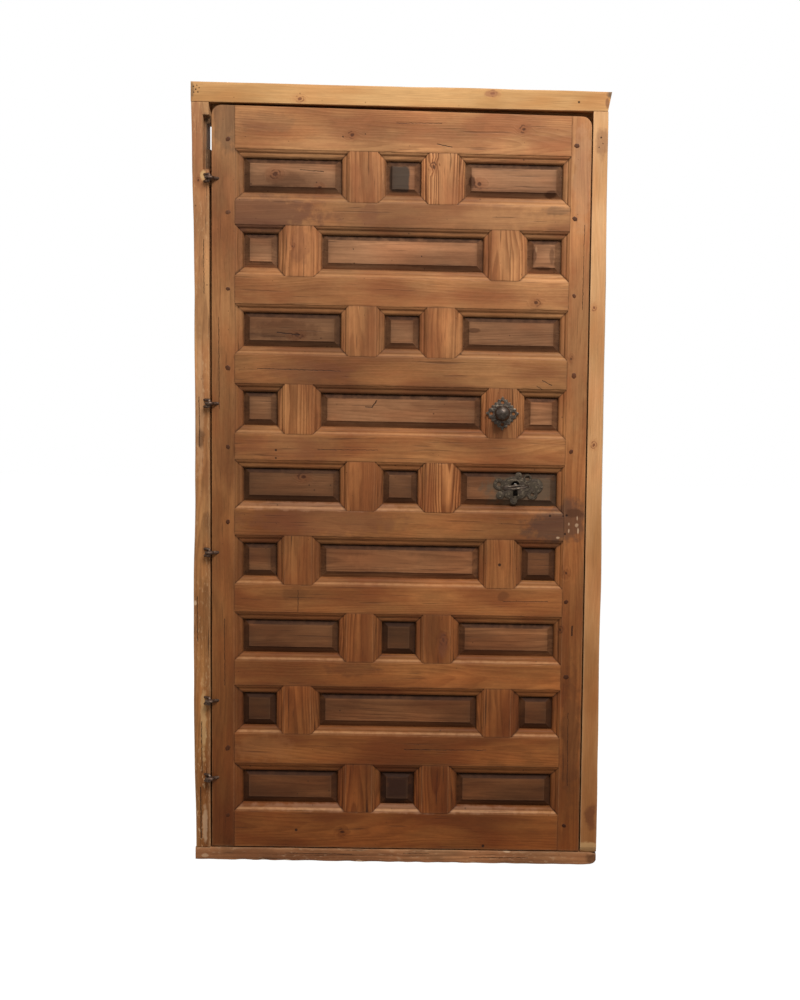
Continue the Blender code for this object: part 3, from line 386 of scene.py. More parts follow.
def railFront(number, seed):
    # Rails are numbered from 0 at the top
    top = leaf["top"] if number == 0 else rowSpan(number)[0]
    foot = leaf["foot"] if number == rowCount else rowSpan(number + 1)[1]
    end = leaf["halfPanelling"] - leaf["jointGap"]
    cuts = []
    if number > 0:
        cuts += [(1, *opening) for opening in rowOpenings(number)]
    if number < rowCount:
        cuts += [(-1, *opening) for opening in rowOpenings(number + 1)]
    cuts = [(side, max(start, -end), min(stop, end)) for side, start, stop in cuts]

    def followTop(u, v):
        return u, v - leafFall(u) * np.clip((v - foot) / (top - foot), 0, 1)

    lift = wearing["railLift"] * math.sin(seed * wearing["railPace"])
    return memberFront("X", (-end, end), (foot, top), cuts, seed, bend=None if number else followTop,
                       jointEdges=(number < rowCount, number > 0), lift=lift)


def stileFront(side, seed):
    # The outer edge follows the leaf's edge and rounds over at the top corner
    inner = side * (leaf["halfPanelling"] + leaf["jointGap"])
    outer = leaf["hingeEdge"] if side < 0 else leaf["lockEdgeFoot"]
    radius = leaf["cornerRadius"]
    spring = leaf["top"] - radius
    cuts = [(-side, *rowSpan(row)) for row in range(1, rowCount + 1)]

    def followEdge(u, v):
        edge = outer if side < 0 else lockEdge(u)
        rise = np.clip(u - spring, 0, radius)
        edge = edge - side * (radius - np.sqrt(radius ** 2 - rise ** 2))
        v = np.where((v - inner) * side > 0, inner + (v - inner) * (edge - inner) / (outer - inner), v)
        share = np.clip((u - rowSpan(1)[1]) / (leaf["top"] - rowSpan(1)[1]), 0, 1)
        return u - leafFall(v) * share, v

    edges = (outer, inner) if side < 0 else (inner, outer)
    joints = (0, 1) if side < 0 else (1, 0)
    corner = spring + radius * np.sin(np.radians(leaf["cornerAngles"]))
    return memberFront("Z", (leaf["foot"], leaf["top"]), edges, cuts, seed, jointEnds=(0, 0),
                       jointEdges=joints, bend=followEdge, fineStops=[spring, *corner])


def mullionFront(row, centre, seed):
    foot, top = rowSpan(row)
    gap = leaf["jointGap"]
    half = leaf["mullionFace"] / 2
    ends = (foot + gap, top - gap)
    return memberFront("Z", ends, (centre - half, centre + half), [(-1, *ends), (1, *ends)], seed,
                       lift=wearing["mullionLift"] * math.sin(seed * wearing["mullionPace"]))


# Raised and fielded panel: depths below the leaf's face against the distance out from the raised field
panel = {
    "field": 0.010, "tongueFront": 0.0215, "tongueBack": 0.0285, "chamfer": 0.016, "edgeGap": 0.001,
    "tuck": 0.0006, "topRise": 0.0035, "crown": 0.0002, "crownReach": 0.02, "gridAlong": 0.009,
    "gridAcross": 0.008, "fineStep": 0.0015, "waveShare": 0.7, "arrisShare": 0.5, "rub": 0.4,
    "rubReach": 0.002,
    # Distance out from the field, share of the fall and share of the dirt and painted shade
    "slope": np.array((
        (0.0003, 0.00, 0.5), (0.0008, 0.05, 0.8), (0.0025, 0.20, 1.0), (0.0060, 0.42, 1.0),
        (0.0100, 0.66, 1.0), (0.0135, 0.87, 1.0), (0.0156, 0.99, 1.0),
    )),
    # Dirt and painted shade on the chamfers from the field's edge to the groove, set for each side by how
    # the light falls and where the moulding casts its shadow, and dirt along the field's ends and long
    # edges
    "left": (0.70, 0.62), "right": (0.65, 0.85), "top": (0.95, 1.25), "bottom": (0.78, 0.10),
    "endDirt": 0.42, "edgeDirt": 0.20, "dirtReach": 0.007,
}


def panelFront(start, end, foot, top, seed, keyhole=None):
    # A field with a slightly crowned face, and rings that step outwards down its chamfer
    inset = moulding["width"] + panel["edgeGap"] + panel["chamfer"]
    fineX, fineZ = [], []
    if keyhole:
        fineX = keyhole["x"] + np.arange(-10, 11) * panel["fineStep"]
        fineZ = keyhole["z"] + np.arange(-20, 11) * panel["fineStep"]
    us = spread(start + inset, end - inset, panel["gridAlong"], fineX)
    vs = spread(foot + inset, top - inset + panel["topRise"], panel["gridAcross"], fineZ)
    u, v = np.meshgrid(us, vs)
    middle = np.array([(us[0] + us[-1]) / 2, (vs[0] + vs[-1]) / 2])
    half = np.array([np.ptp(us) / 2, np.ptp(vs) / 2])
    fromEnd, fromEdge = half[0] - abs(u - middle[0]), half[1] - abs(v - middle[1])
    near = np.minimum(fromEnd, fromEdge)
    margin = np.maximum(panel["endDirt"] * fading(fromEnd, panel["dirtReach"]),
                        panel["edgeDirt"] * fading(fromEdge, panel["dirtReach"]))
    index = np.arange(u.size).reshape(u.shape)
    loop = np.concatenate([index[0, :-1], index[:-1, -1], index[-1, :0:-1], index[:0:-1, 0]])
    p = (u.ravel()[loop] - middle[0]) / half[0]
    q = (v.ravel()[loop] - middle[1]) / half[1]
    drop = panel["tongueFront"] - panel["field"]
    out, fall, dirtAndShade = panel["slope"].T[..., None]
    last = panel["chamfer"] + panel["edgeGap"] + panel["tuck"]
    out = np.concatenate([out, [[panel["chamfer"]], [last]]])
    fall = np.concatenate([fall, [[1], [1]]]) * drop
    rim = 0.999
    # Dirt and painted shade on each chamfer, by side
    sides = (("left", p < -rim), ("right", p > rim), ("bottom", q < -rim), ("top", q > rim))
    outness = np.clip(out / panel["chamfer"], 0, 1)
    soiledAndShaded = sum(on * (panel[side][0] + outness * (panel[side][1] - panel[side][0])) for side, on in sides)
    dirtAndShade = np.concatenate([dirtAndShade, [[1], [1]]]) * soiledAndShaded / sum(on * 1.0 for side, on in sides)
    ru = middle[0] + p * (half[0] + out)
    rv = middle[1] + q * (half[1] + out)
    rd = np.broadcast_to(panel["field"] + fall, ru.shape)
    grid = u.size + np.arange(ru.size).reshape(ru.shape)
    rings = np.concatenate([loop[None, :], grid])
    rings = np.concatenate([rings, rings[:, :1]], axis=1)
    depth = panel["field"] + panel["arrisShare"] * arrisDepth(u, v, near, seed)
    depth = depth - panel["crown"] * np.clip(near / panel["crownReach"], 0, 1)
    allU = np.concatenate([u.ravel(), ru.ravel()])
    allV = np.concatenate([v.ravel(), rv.ravel()])
    wave = panel["waveShare"] * surfaceDepth(allU, allV, seed)
    depth = np.concatenate([depth.ravel(), rd.ravel()]) + wave
    crease = np.concatenate([margin.ravel(), dirtAndShade.ravel()])
    # Paler near the field's edges: rubbed wood and a painted highlight along the arris
    rubbedAndHighlight = panel["rub"] * fading(near.ravel(), panel["rubReach"])
    rubbedAndHighlight = np.concatenate([rubbedAndHighlight, np.zeros(ru.size)])
    points = np.stack([allU, leaf["front"] + depth, allV], 1)
    field = gridQuads(index)
    if keyhole:
        x, z = points[field].mean(1)[:, [0, 2]].T - np.array([[keyhole["x"]], [keyhole["z"]]])
        slot = (abs(x) < keyhole["slotWidth"] / 2) & between(z, (-keyhole["slotLength"], 0))
        field = field[~((np.hypot(x, z) < keyhole["radius"]) | slot)]
    return points, np.concatenate([field, gridQuads(rings)]), {"crease": crease, "wear": rubbedAndHighlight}


def addPanelRow(row, material, seed, shades, keyhole=None):
    # The three panels of a row are one piece, each a closed board of its own; a keyhole is in the last
    foot, top = rowSpan(row)
    shapes, allMarks = [], []
    for place, (start, end) in enumerate(rowOpenings(row)):
        front = panelFront(start, end, foot, top, seed + place, keyhole if place == 2 else None)
        points, quads, marks = closedBoard(*front, leaf["front"] + panel["tongueBack"])
        own = boardMarks(seed + place, (foot, top), shades.get((row, place)))
        marks.update({key: np.full(len(points), value) for key, value in own.items()})
        shapes.append((points, quads, noTriangles))
        allMarks.append(marks)
    marks = {key: np.concatenate([one[key] for one in allMarks]) for key in allMarks[0]}
    name = f"panel_row_{row}"
    addPiece(name, *joined(shapes), material, "leaf", "panel_pine", [name], marks)


# Samples near a corner, as distances and as shares of a short side, and how wear and waves act
sweeping = {
    "near": np.array((0, 0.0008, 0.002, 0.004)), "nearShare": np.array((0, 0.08, 0.16, 0.24)),
    "convex": 0.2, "wearReach": 0.0012, "wearSpread": 0.8, "pull": 0.7, "fullSide": 0.02,
    "rubReach": 0.002, "fullRub": 0.0012, "leastRub": 0.3,
}


def sweep(axis, stations, corners, seed, sideSamples, worn, wave=0.0004, waveSize=0.14):
    # A section carried along an axis: each side between corners is sampled closely near its ends, convex
    # corners are pulled in by their wear, and both ends are closed by a fan. Corners are (stations,
    # corners, 2), first pair the two directions across the axis, running anticlockwise as seen looking
    # against the axis
    ahead = np.roll(corners, -1, 1) - corners
    length = np.linalg.norm(ahead, axis=2, keepdims=True) + 1e-9
    ahead = ahead / length
    behind = np.roll(corners, 1, 1) - corners
    behind = behind / (np.linalg.norm(behind, axis=2, keepdims=True) + 1e-9)
    turn = behind[..., 1] * ahead[..., 0] - behind[..., 0] * ahead[..., 1]
    inward = (ahead + behind) * (turn > sweeping["convex"])[..., None]
    count = corners.shape[1]
    along = stations[:, None]
    rows, rub = [], []
    for number in range(count):
        size = length[:, number]
        close = np.minimum(sweeping["near"], size * sweeping["nearShare"])
        inner = np.linspace(0, 1, sideSamples[number] + 2)[1:-1]
        inner = close[:, -1:] + inner * (size - 2 * close[:, -1:])
        reach = np.concatenate([close, inner, size - close[:, :0:-1]], axis=1)
        here = corners[:, number, None] + ahead[:, number, None] * reach[..., None]
        for corner, distance in ((number, reach), ((number + 1) % count, size - reach)):
            wear = worn[:, corner, None]
            amount = wear * fading(distance, sweeping["wearReach"] + sweeping["wearSpread"] * wear)
            here = here + inward[:, corner, None] * (amount * sweeping["pull"])[..., None]
        normal = np.stack([-ahead[:, number, 1], ahead[:, number, 0]], -1)
        unevenness = np.clip(ripple(along + number, reach, seed + number, waveSize), -1, 1)
        push = wave * (1 + unevenness) * np.clip(size / sweeping["fullSide"], 0, 1)
        rows.append(here + normal[:, None] * push[..., None])
        share = np.clip(worn[:, number, None] / sweeping["fullRub"], sweeping["leastRub"], 1)
        rub.append(fading(np.minimum(reach, size - reach), sweeping["rubReach"]) * share)
    across = np.concatenate(rows, axis=1)
    along = np.broadcast_to(along, across.shape[:2])[..., None]
    points, quads, fans = skin(np.concatenate([across, along] if axis == "Z" else [along, across], -1))
    rub = np.concatenate([np.concatenate(rub, axis=1).ravel(), [0, 0]])
    return points, quads, fans, {"crease": np.zeros(len(points)), "wear": rub}


def addFramePiece(name, swept, axis, material, slot, seed):
    points, quads, fans, marks = swept
    own = boardMarks(seed, points[:, 2 if axis == "X" else 0])
    addPiece(name, points, quads, fans, material, "frame", slot, [name], {**marks, **own})


class Value:
    # A node's output, so that masks and shades can be written as sums and products
    def __init__(self, socket):
        self.socket = socket

    def __add__(self, other):
        return maths("ADD", self, other)

    def __sub__(self, other):
        return maths("SUBTRACT", self, other)

    def __mul__(self, other):
        return maths("MULTIPLY", self, other)

    def __truediv__(self, other):
        return maths("DIVIDE", self, other)


def put(tree, kind, values=(), output=0, **settings):
    # A node with its settings and its inputs linked or set; gives back one output
    node = tree.nodes.new("ShaderNode" + kind)
    for key, value in settings.items():
        setattr(node, key, value)
    for socket, value in values.items() if isinstance(values, dict) else enumerate(values):
        if isinstance(value, Value):
            tree.links.new(value.socket, node.inputs[socket])
        else:
            node.inputs[socket].default_value = value
    return Value(node.outputs[output])


def treeOf(*values):
    # The node tree of the first node output among the values
    return next(value.socket.id_data for value in values if isinstance(value, Value))


def outputsOf(value):
    # All outputs of a value's node, by name
    return {socket.name: Value(socket) for socket in value.socket.node.outputs}


def link(value, socket):
    treeOf(value).links.new(value.socket, socket)


def maths(operation, *values):
    return put(treeOf(*values), "Math", values, operation=operation)


def vectors(operation, *values, output="Vector"):
    return put(treeOf(*values), "VectorMath", values, output, operation=operation)


def separate(place):
    return outputsOf(put(treeOf(place), "SeparateXYZ", (place,))).values()


def clamped(value):
    return put(treeOf(value), "Clamp", (value, 0.0, 1.0))


def remap(value, low, high, toLow=0.0, toHigh=1.0):
    # A smooth step from one value to another
    values = (value, low, high, toLow, toHigh)
    return put(treeOf(value), "MapRange", values, interpolation_type="SMOOTHSTEP")


def blend(factor, first, second, mode="MIX"):
    values = {0: factor, 6: first, 7: second}
    return put(treeOf(factor, first), "Mix", values, 2, data_type="RGBA", blend_type=mode)


def noise(place, along, across=None, detail=2.0, roughness=0.5):
    # Soft noise with so many waves a metre along the grain and across it
    across = across or along
    stretched = vectors("MULTIPLY", place, (along, across, across))
    values = {"Vector": stretched, "Scale": 1.0, "Detail": detail, "Roughness": roughness}
    return put(treeOf(place), "TexNoise", values)


def attribute(tree, name):
    return put(tree, "Attribute", output="Fac", attribute_name=name)


def gathered(operation, masks):
    # Several masks as one, or none
    return functools.reduce(lambda first, second: maths(operation, first, second), masks) if masks else None


def colour(red, green, blue):
    # An sRGB colour as the linear value that a shader takes
    shares = np.array([red, green, blue]) / 255
    return (*np.where(shares > 0.04045, ((shares + 0.055) / 1.055) ** 2.4, shares / 12.92), 1.0)


def makeGroup(name, vectorInputs, valueInputs, outputs):
    # An empty node group, what it is given and where its results go
    tree = bpy.data.node_groups.new(name, "ShaderNodeTree")
    for label in vectorInputs:
        tree.interface.new_socket(label, in_out="INPUT", socket_type="NodeSocketVector")
    for label in valueInputs:
        tree.interface.new_socket(label, in_out="INPUT", socket_type="NodeSocketFloat")
    for label in outputs:
        tree.interface.new_socket(label, in_out="OUTPUT", socket_type="NodeSocketFloat")
    given = {socket.name: Value(socket) for socket in tree.nodes.new("NodeGroupInput").outputs}
    return tree, given, tree.nodes.new("NodeGroupOutput").inputs


def useGroup(tree, group, values):
    return outputsOf(put(tree, "Group", values, node_tree=group))


# Layers of the grain, as waves a metre along it and across it, detail and roughness
grainNoise = {
    "sway": (2.4, 16.0), "rise": (1.6, 7.0, 1.0), "uneven": (0.8, 40.0, 1.0), "Line": (4.0, 260.0),
    "Streak": (1.8, 48.0, 3.0, 0.62), "Fibre": (14.0, 750.0, 1.0), "Check": (7.0, 200.0),
    "Cloud": (4.5, 12.0, 3.0, 0.55), "Mottle": (9.0, 24.0, 4.0, 0.62),
}
# How rings lie, where their shade rises and falls, and where lines and checks start and are full
grainMix = {
    "seedSteps": (3.7, 1.9), "levelSeed": 5.0, "tilt": 0.006, "uneven": 1.4, "ringRise": (0.15, 0.84),
    "ringFall": (0.88, 1.0), "Line": (0.57, 0.72), "Check": (0.64, 0.74), "warmthAside": (7.0, 3.0, 5.0),
    "warmthNoise": (5.0, 13.0),
}


def grainGroup():
    # Growth rings lie round a heart that runs nearly along the board some way behind its face, so that
    # the face shows long arches; slow noise bends them. Also long streaks, thin lines, fine fibre, short
    # checks and clouds
    outputs = ("Ring", "Streak", "Line", "Fibre", "Check", "Cloud", "Mottle", "Warmth")
    inputs = ("Seed", "Heart", "Ring Width", "Bend", "Drift", "Deep")
    tree, given, out = makeGroup("pineGrain", ("Place",), inputs, outputs)
    seed, drift = given["Seed"], given["Drift"]
    moved = [seed * step for step in grainMix["seedSteps"]]
    place = vectors("ADD", given["Place"], put(tree, "CombineXYZ", (*moved, seed)))
    layers = {layer: noise(place, *waves) for layer, waves in grainNoise.items()}
    along, across, _ = separate(given["Place"])
    sideways = (layers["sway"] - 0.5) * drift + (across - given["Heart"])
    tilt = (seed - grainMix["levelSeed"]) * grainMix["tilt"]
    deep = (layers["rise"] - 0.5) * drift + (along * tilt + given["Deep"])
    radius = maths("SQRT", sideways * sideways + deep * deep) + given["Bend"]
    part = maths("FRACT", radius / given["Ring Width"] + layers["uneven"] * grainMix["uneven"])
    layers["Ring"] = remap(part, *grainMix["ringRise"]) * remap(part, *grainMix["ringFall"], 1.0, 0.0)
    for layer in ("Line", "Check"):
        layers[layer] = remap(layers[layer], *grainMix[layer])
    layers["Warmth"] = noise(vectors("ADD", place, grainMix["warmthAside"]), *grainMix["warmthNoise"])
    for layer in outputs:
        link(layers[layer], out[layer])
    return tree


# Scales of the noise in knots, patches, cracks and flecks, and the distances where each part of them
# starts and ends
markMix = {
    "knotScale": 90.0, "knotRough": 1.2, "knotHeart": (0.30, 0.72), "knotRim": 1.15,
    "rimEdge": (0.05, 0.32), "rimDark": 0.8, "breakScale": 60.0, "breakEdge": (0.46, 0.60),
    "haloEdge": (0.8, 3.0), "ringBend": -0.45, "patchScale": 45.0, "patchEdge": 1.05,
    "crackScale": 120.0, "crackWobble": (0.004, 0.0, 0.004), "crackCore": 0.35, "fleckScale": 70.0,
    "fleckSpread": 0.14, "fleckLeast": 0.04, "fleckEdge": (0.6, 1.2), "fleckDark": 0.65,
}


def knotGroup():
    # An oval distance from a knot's middle gives its dark core, its halo, and how far the rings bend
    tree, given, out = makeGroup("knot", ("Place", "Centre", "Size"), (), ("Core", "Halo", "Bend"))
    place = given["Place"]
    away = vectors("SUBTRACT", place, given["Centre"])
    rough = (noise(place, markMix["knotScale"]) - 0.5) * markMix["knotRough"]
    flat = vectors("MULTIPLY", vectors("DIVIDE", away, given["Size"]), (1.0, 0.0, 1.0))
    distance = vectors("LENGTH", flat, output="Value") + rough
    heart = remap(distance, *markMix["knotHeart"], 1.0, 0.0)
    fromRim = maths("ABSOLUTE", distance - markMix["knotRim"])
    ringed = remap(fromRim, *markMix["rimEdge"], markMix["rimDark"], 0.0)
    broken = remap(noise(place, markMix["breakScale"], detail=1.0), *markMix["breakEdge"])
    halo = remap(distance, *markMix["haloEdge"], 1.0, 0.0)
    x, _, z = separate(away)
    link(maths("MAXIMUM", heart, ringed * broken), out["Core"])
    link(halo, out["Halo"])
    link(halo * (x + z) * markMix["ringBend"], out["Bend"])
    return tree


def patchGroup():
    # A soft patch with a ragged edge, oval at power 2 and squarer above it
    inputs = ("Ragged", "Power", "Fade")
    tree, given, out = makeGroup("softPatch", ("Place", "Centre", "Size"), inputs, ("Mask",))
    place, power = given["Place"], given["Power"]
    away = vectors("DIVIDE", vectors("SUBTRACT", place, given["Centre"]), given["Size"])
    sideways, _, upward = separate(vectors("ABSOLUTE", away))
    powers = maths("POWER", sideways, power) + maths("POWER", upward, power)
    rough = noise(place, markMix["patchScale"], detail=3.0, roughness=0.6) - 0.5
    distance = maths("POWER", powers, maths("DIVIDE", 1.0, power)) + rough * given["Ragged"]
    edge = markMix["patchEdge"]
    link(remap(distance, maths("SUBTRACT", edge, given["Fade"]), edge, 1.0, 0.0), out["Mask"])
    return tree


def crackGroup():
    # Distance from a line between two points, made crooked by noise, gives a thin dark mark
    tree, given, out = makeGroup("crack", ("Place", "Start", "End"), ("Width",), ("Mask",))
    place, width = given["Place"], given["Width"]
    values = {"Vector": place, "Scale": markMix["crackScale"], "Detail": 2.0}
    wobble = put(tree, "TexNoise", values, "Color")
    wobble = vectors("SUBTRACT", wobble, (0.5, 0.5, 0.5))
    wobble = vectors("MULTIPLY", wobble, markMix["crackWobble"])
    away = vectors("SUBTRACT", vectors("ADD", place, wobble), given["Start"])
    away = vectors("MULTIPLY", away, (1.0, 0.0, 1.0))
    span = vectors("SUBTRACT", given["End"], given["Start"])
    reach = vectors("DOT_PRODUCT", away, span, output="Value")
    share = clamped(reach / vectors("DOT_PRODUCT", span, span, output="Value"))
    nearest = put(tree, "VectorMath", {0: span, "Scale": share}, operation="SCALE")
    distance = vectors("LENGTH", vectors("SUBTRACT", away, nearest), output="Value")
    link(remap(distance, width * markMix["crackCore"], width, 1.0, 0.0), out["Mask"])
    return tree


def fleckGroup():
    # Small dark flecks: a share of random cells has a dot of its own size, strength and place
    tree, given, out = makeGroup("flecks", ("Place",), ("Share",), ("Mask",))
    values = {"Vector": given["Place"], "Scale": markMix["fleckScale"]}
    cells = outputsOf(put(tree, "TexVoronoi", values))
    chance, sizing, _ = outputsOf(put(tree, "SeparateColor", (cells["Color"],))).values()
    size = sizing * markMix["fleckSpread"] + markMix["fleckLeast"]
    dot = remap(cells["Distance"] / size, *markMix["fleckEdge"], 1.0, 0.0)
    chosen = maths("LESS_THAN", chance, given["Share"])
    link(dot * chosen * markMix["fleckDark"], out["Mask"])
    return tree


fleckShape = fleckGroup()
pineGrain = grainGroup()
knotShape = knotGroup()
softPatch = patchGroup()
crackLine = crackGroup()


def newMaterial(name):
    # A material, its tree, the inputs of its shader and the place on the object
    material = bpy.data.materials.new(name)
    material.use_nodes = True
    tree = material.node_tree
    return material, tree, tree.nodes["Principled BSDF"].inputs, put(tree, "TexCoord", output="Object")


def spot(place, x, z, halfWide, halfHigh, ragged, power, fade):
    # The mask of one soft patch
    values = {"Place": place, "Centre": (x, 0.0, z), "Size": (halfWide, 1.0, halfHigh)}
    values.update({"Ragged": ragged, "Power": power, "Fade": fade})
    return useGroup(treeOf(place), softPatch, values)["Mask"]


pinePaints = ("light", "dark", "patina", "knot", "knotHalo", "dirtAndShade", "rubbedAndHighlight", "pit")
# How strongly each layer of the wood shows and where along the door. Edges of patches are given as
# raggedness, power and fade
pineMix = {
    "knotOval": 1.35, "halo": 0.40, "knot": 0.85, "pit": 0.88, "holeEdge": (0.5, 2.0, 0.5),
    "stainEdge": (1.3, 2.0, 0.5), "squareEdge": (0.3, 7.0, 0.22), "fibreShade": (0.90, 1.07),
    "paintedLightSpan": (0.20, 0.55), "footSpan": (0.05, 1.95), "footPower": 1.5, "grimeScale": 55.0,
    "rubAbove": 0.45, "rubBelow": 0.8, "streakGloss": 0.22, "glossShift": 0.10, "dirtGloss": 0.2,
    "bump": 0.35, "bumpDepth": 0.0012, "knotRelief": 0.6, "pitRelief": 1.5,
    "relief": {"Fibre": 0.35, "Ring": 0.4, "Check": -0.9},
    # Where noise begins to act and where it acts in full, and how far it lifts or darkens
    "patinaEdge": (0.42, 0.64), "fibreEdge": (0.25, 0.75), "mottleEdge": (0.32, 0.68), "mottleLift": 0.6,
    "cloudEdge": (0.36, 0.64), "cloudLift": 0.2, "cloudDark": 0.26, "warmthEdge": (0.36, 0.64),
    "blueShare": 1.5, "grimeEdge": (0.3, 0.65), "rubEdge": (0.32, 0.60), "leastRub": 0.55,
    # Torn fibre: its noise, where that shows, the patches it comes in, and less of it above the foot
    "tornNoise": (55.0, 170.0, 3.0, 0.6), "tornEdge": (0.53, 0.68), "tornPatches": (9.0, 30.0),
    "patchesEdge": (0.38, 0.60), "tornHeight": (0.18, 0.34, 1.0, 0.35),
}


def pine(name, along, look, knots=(), stains=(), holes=(), cracks=()):
    # Old oiled pine: light and dark wood mixed by rings and streaks, then patina, painted light that grows
    # towards the lock side, knots, a browner foot, stains, dirt and painted shade in the joints, creases,
    # grooves and on the chamfers, rubbed arrises with painted highlights, holes and cracks. Knots and holes
    # are given as x, z and size, stains as x, z, half sizes, strength and colour, and cracks as two ends
    # and a width
    material, tree, shader, place = newMaterial(name)
    light, dark, patina, knot, knotHalo, dirtAndShade, rubbedAndHighlight, pit = (colour(*look[key]) for key in pinePaints)
    x, y, z = separate(place)
    turnedPlace = put(tree, "CombineXYZ", (x, z, y) if along == "X" else (z, x, y))
    shapes, pits = [], []
    for knotX, knotZ, size in knots:
        long = size * pineMix["knotOval"]
        oval = (long, 1.0, size) if along == "X" else (size, 1.0, long)
        values = {"Place": place, "Centre": (knotX, 0.0, knotZ), "Size": oval}
        shapes.append(useGroup(tree, knotShape, values))
    core = gathered("MAXIMUM", [shape["Core"] for shape in shapes])
    halo = gathered("MAXIMUM", [shape["Halo"] for shape in shapes])
    bend = gathered("ADD", [shape["Bend"] for shape in shapes])
    for holeX, holeZ, size in holes:
        pits.append(spot(place, holeX, holeZ, size, size, *pineMix["holeEdge"]))
    for startX, startZ, endX, endZ, width in cracks:
        values = {"Place": place, "Start": (startX, 0.0, startZ), "End": (endX, 0.0, endZ), "Width": width}
        pits.append(useGroup(tree, crackLine, values)["Mask"])
    pits = gathered("MAXIMUM", pits)
    tone = attribute(tree, "tone")
    values = {"Place": turnedPlace, "Seed": attribute(tree, "seed"), "Heart": attribute(tree, "heart")}
    values.update({"Bend": bend or 0.0, "Ring Width": look["ringWidth"], "Drift": look["drift"]})
    grain = useGroup(tree, pineGrain, {**values, "Deep": look["deep"]})
    streak = (grain["Streak"] - 0.5) * look["streak"]
    amount = grain["Ring"] * (tone * (look["ringSpread"] * look["ring"]) + look["ring"]) + streak
    amount = clamped(grain["Line"] * look["line"] + amount + look["base"])
    tint = blend(amount, light, dark)
    cloud = grain["Cloud"]
    tint = blend(remap(cloud, *pineMix["patinaEdge"], 0.0, look["cloud"]), tint, patina)
    # Brightness from the board's own tone, fibre, mottling and clouds, and painted light that makes the
    # wood paler towards the lock side
    fibre = remap(grain["Fibre"], *pineMix["fibreEdge"], *pineMix["fibreShade"])
    mottled = (1.0 - look["mottle"], 1.0 + pineMix["mottleLift"] * look["mottle"])
    clouded = (1.0 + pineMix["cloudLift"] * look["cloud"], 1.0 - pineMix["cloudDark"] * look["cloud"])
    shade = (tone * look["toneSpread"] + 1.0) * fibre
    shade = shade * remap(grain["Mottle"], *pineMix["mottleEdge"], *mottled)
    shade = shade * remap(cloud, *pineMix["cloudEdge"], *clouded)
    # Painted light: brighter towards the lock side and darker towards the hinge side, fading out towards
    # the foot
    shade = shade * (x * remap(z, *pineMix["paintedLightSpan"], 0.0, look["paintedLightToLock"]) + 1.0)
    green, blue = (shade * remap(grain["Warmth"], *pineMix["warmthEdge"], 1.0 + hue, 1.0 - hue)
                   for hue in (look["hue"], pineMix["blueShare"] * look["hue"]))
    tint = blend(1.0, tint, put(tree, "CombineColor", (shade, green, blue)), "MULTIPLY")
    if knots:
        tint = blend(halo * pineMix["halo"], tint, knotHalo)
        tint = blend(core * pineMix["knot"], tint, knot)
    low = put(tree, "MapRange", (z, *pineMix["footSpan"], 1.0, 0.0))
    low = maths("POWER", low, pineMix["footPower"])
    foot = put(tree, "CombineColor", [maths("POWER", channel, low) for channel in look["footTint"]])
    tint = blend(1.0, tint, foot, "MULTIPLY")
    for stainX, stainZ, halfWide, halfHigh, strength, stain, *square in stains:
        edge = pineMix["squareEdge" if square else "stainEdge"]
        mask = spot(place, stainX, stainZ, halfWide, halfHigh, *edge)
        tint = blend(mask * strength, tint, colour(*stain))
    tint = blend(useGroup(tree, fleckShape, {"Place": place, "Share": look["flecks"]})["Mask"], tint, dirtAndShade)
    # Dirt and painted shade in joints, creases, grooves and on the chamfers, broken up by noise
    grimeAndShade = noise(place, pineMix["grimeScale"], detail=3.0, roughness=0.6)
    dirtyAndShaded = attribute(tree, "crease") * remap(grimeAndShade, *pineMix["grimeEdge"], look["evenness"], 1.0)
    tint = blend(dirtyAndShaded * look["grimeAndShade"], tint, dirtAndShade)
    # Rubbed wood and painted highlights on arrises and on the mouldings that face up, more of both towards
    # the foot
    worn = attribute(tree, "wear") * remap(grimeAndShade, *pineMix["rubEdge"], pineMix["leastRub"], 1.0)
    worn = worn * (low * pineMix["rubBelow"] + pineMix["rubAbove"])
    tint = blend(worn * look["rub"], tint, rubbedAndHighlight)
    tint = blend(grain["Check"] * look["check"], tint, dirtAndShade)
    if look["splinter"]:
        torn = noise(turnedPlace, *pineMix["tornNoise"])
        torn = remap(torn, *pineMix["tornEdge"], 0.0, look["splinter"])
        patches = remap(noise(turnedPlace, *pineMix["tornPatches"]), *pineMix["patchesEdge"])
        tint = blend(torn * patches * remap(z, *pineMix["tornHeight"]), tint, rubbedAndHighlight)
    relief = gathered("ADD", [grain[layer] * height for layer, height in pineMix["relief"].items()])
    if knots:
        relief = relief - core * pineMix["knotRelief"]
    if pits:
        tint = blend(pits * pineMix["pit"], tint, pit)
        relief = relief - pits * pineMix["pitRelief"]
    link(tint, shader["Base Color"])
    gloss = grain["Streak"] * pineMix["streakGloss"] + (look["roughness"] - pineMix["glossShift"])
    link(dirtyAndShaded * pineMix["dirtGloss"] + gloss, shader["Roughness"])
    bump = {"Strength": pineMix["bump"], "Distance": pineMix["bumpDepth"], "Height": relief}
    link(put(tree, "Bump", bump), shader["Normal"])
    shader["Specular IOR Level"].default_value = look["specular"]
    return material


ironMix = {
    "rustScale": 95.0, "rustEdge": (0.42, 0.70), "brightScale": 150.0, "brightEdge": (0.5, 0.75),
    "rustRough": 0.3, "metal": (0.9, 0.35), "hammerScale": 190.0, "rustHeight": 0.4, "bumpDepth": 0.0010,
}


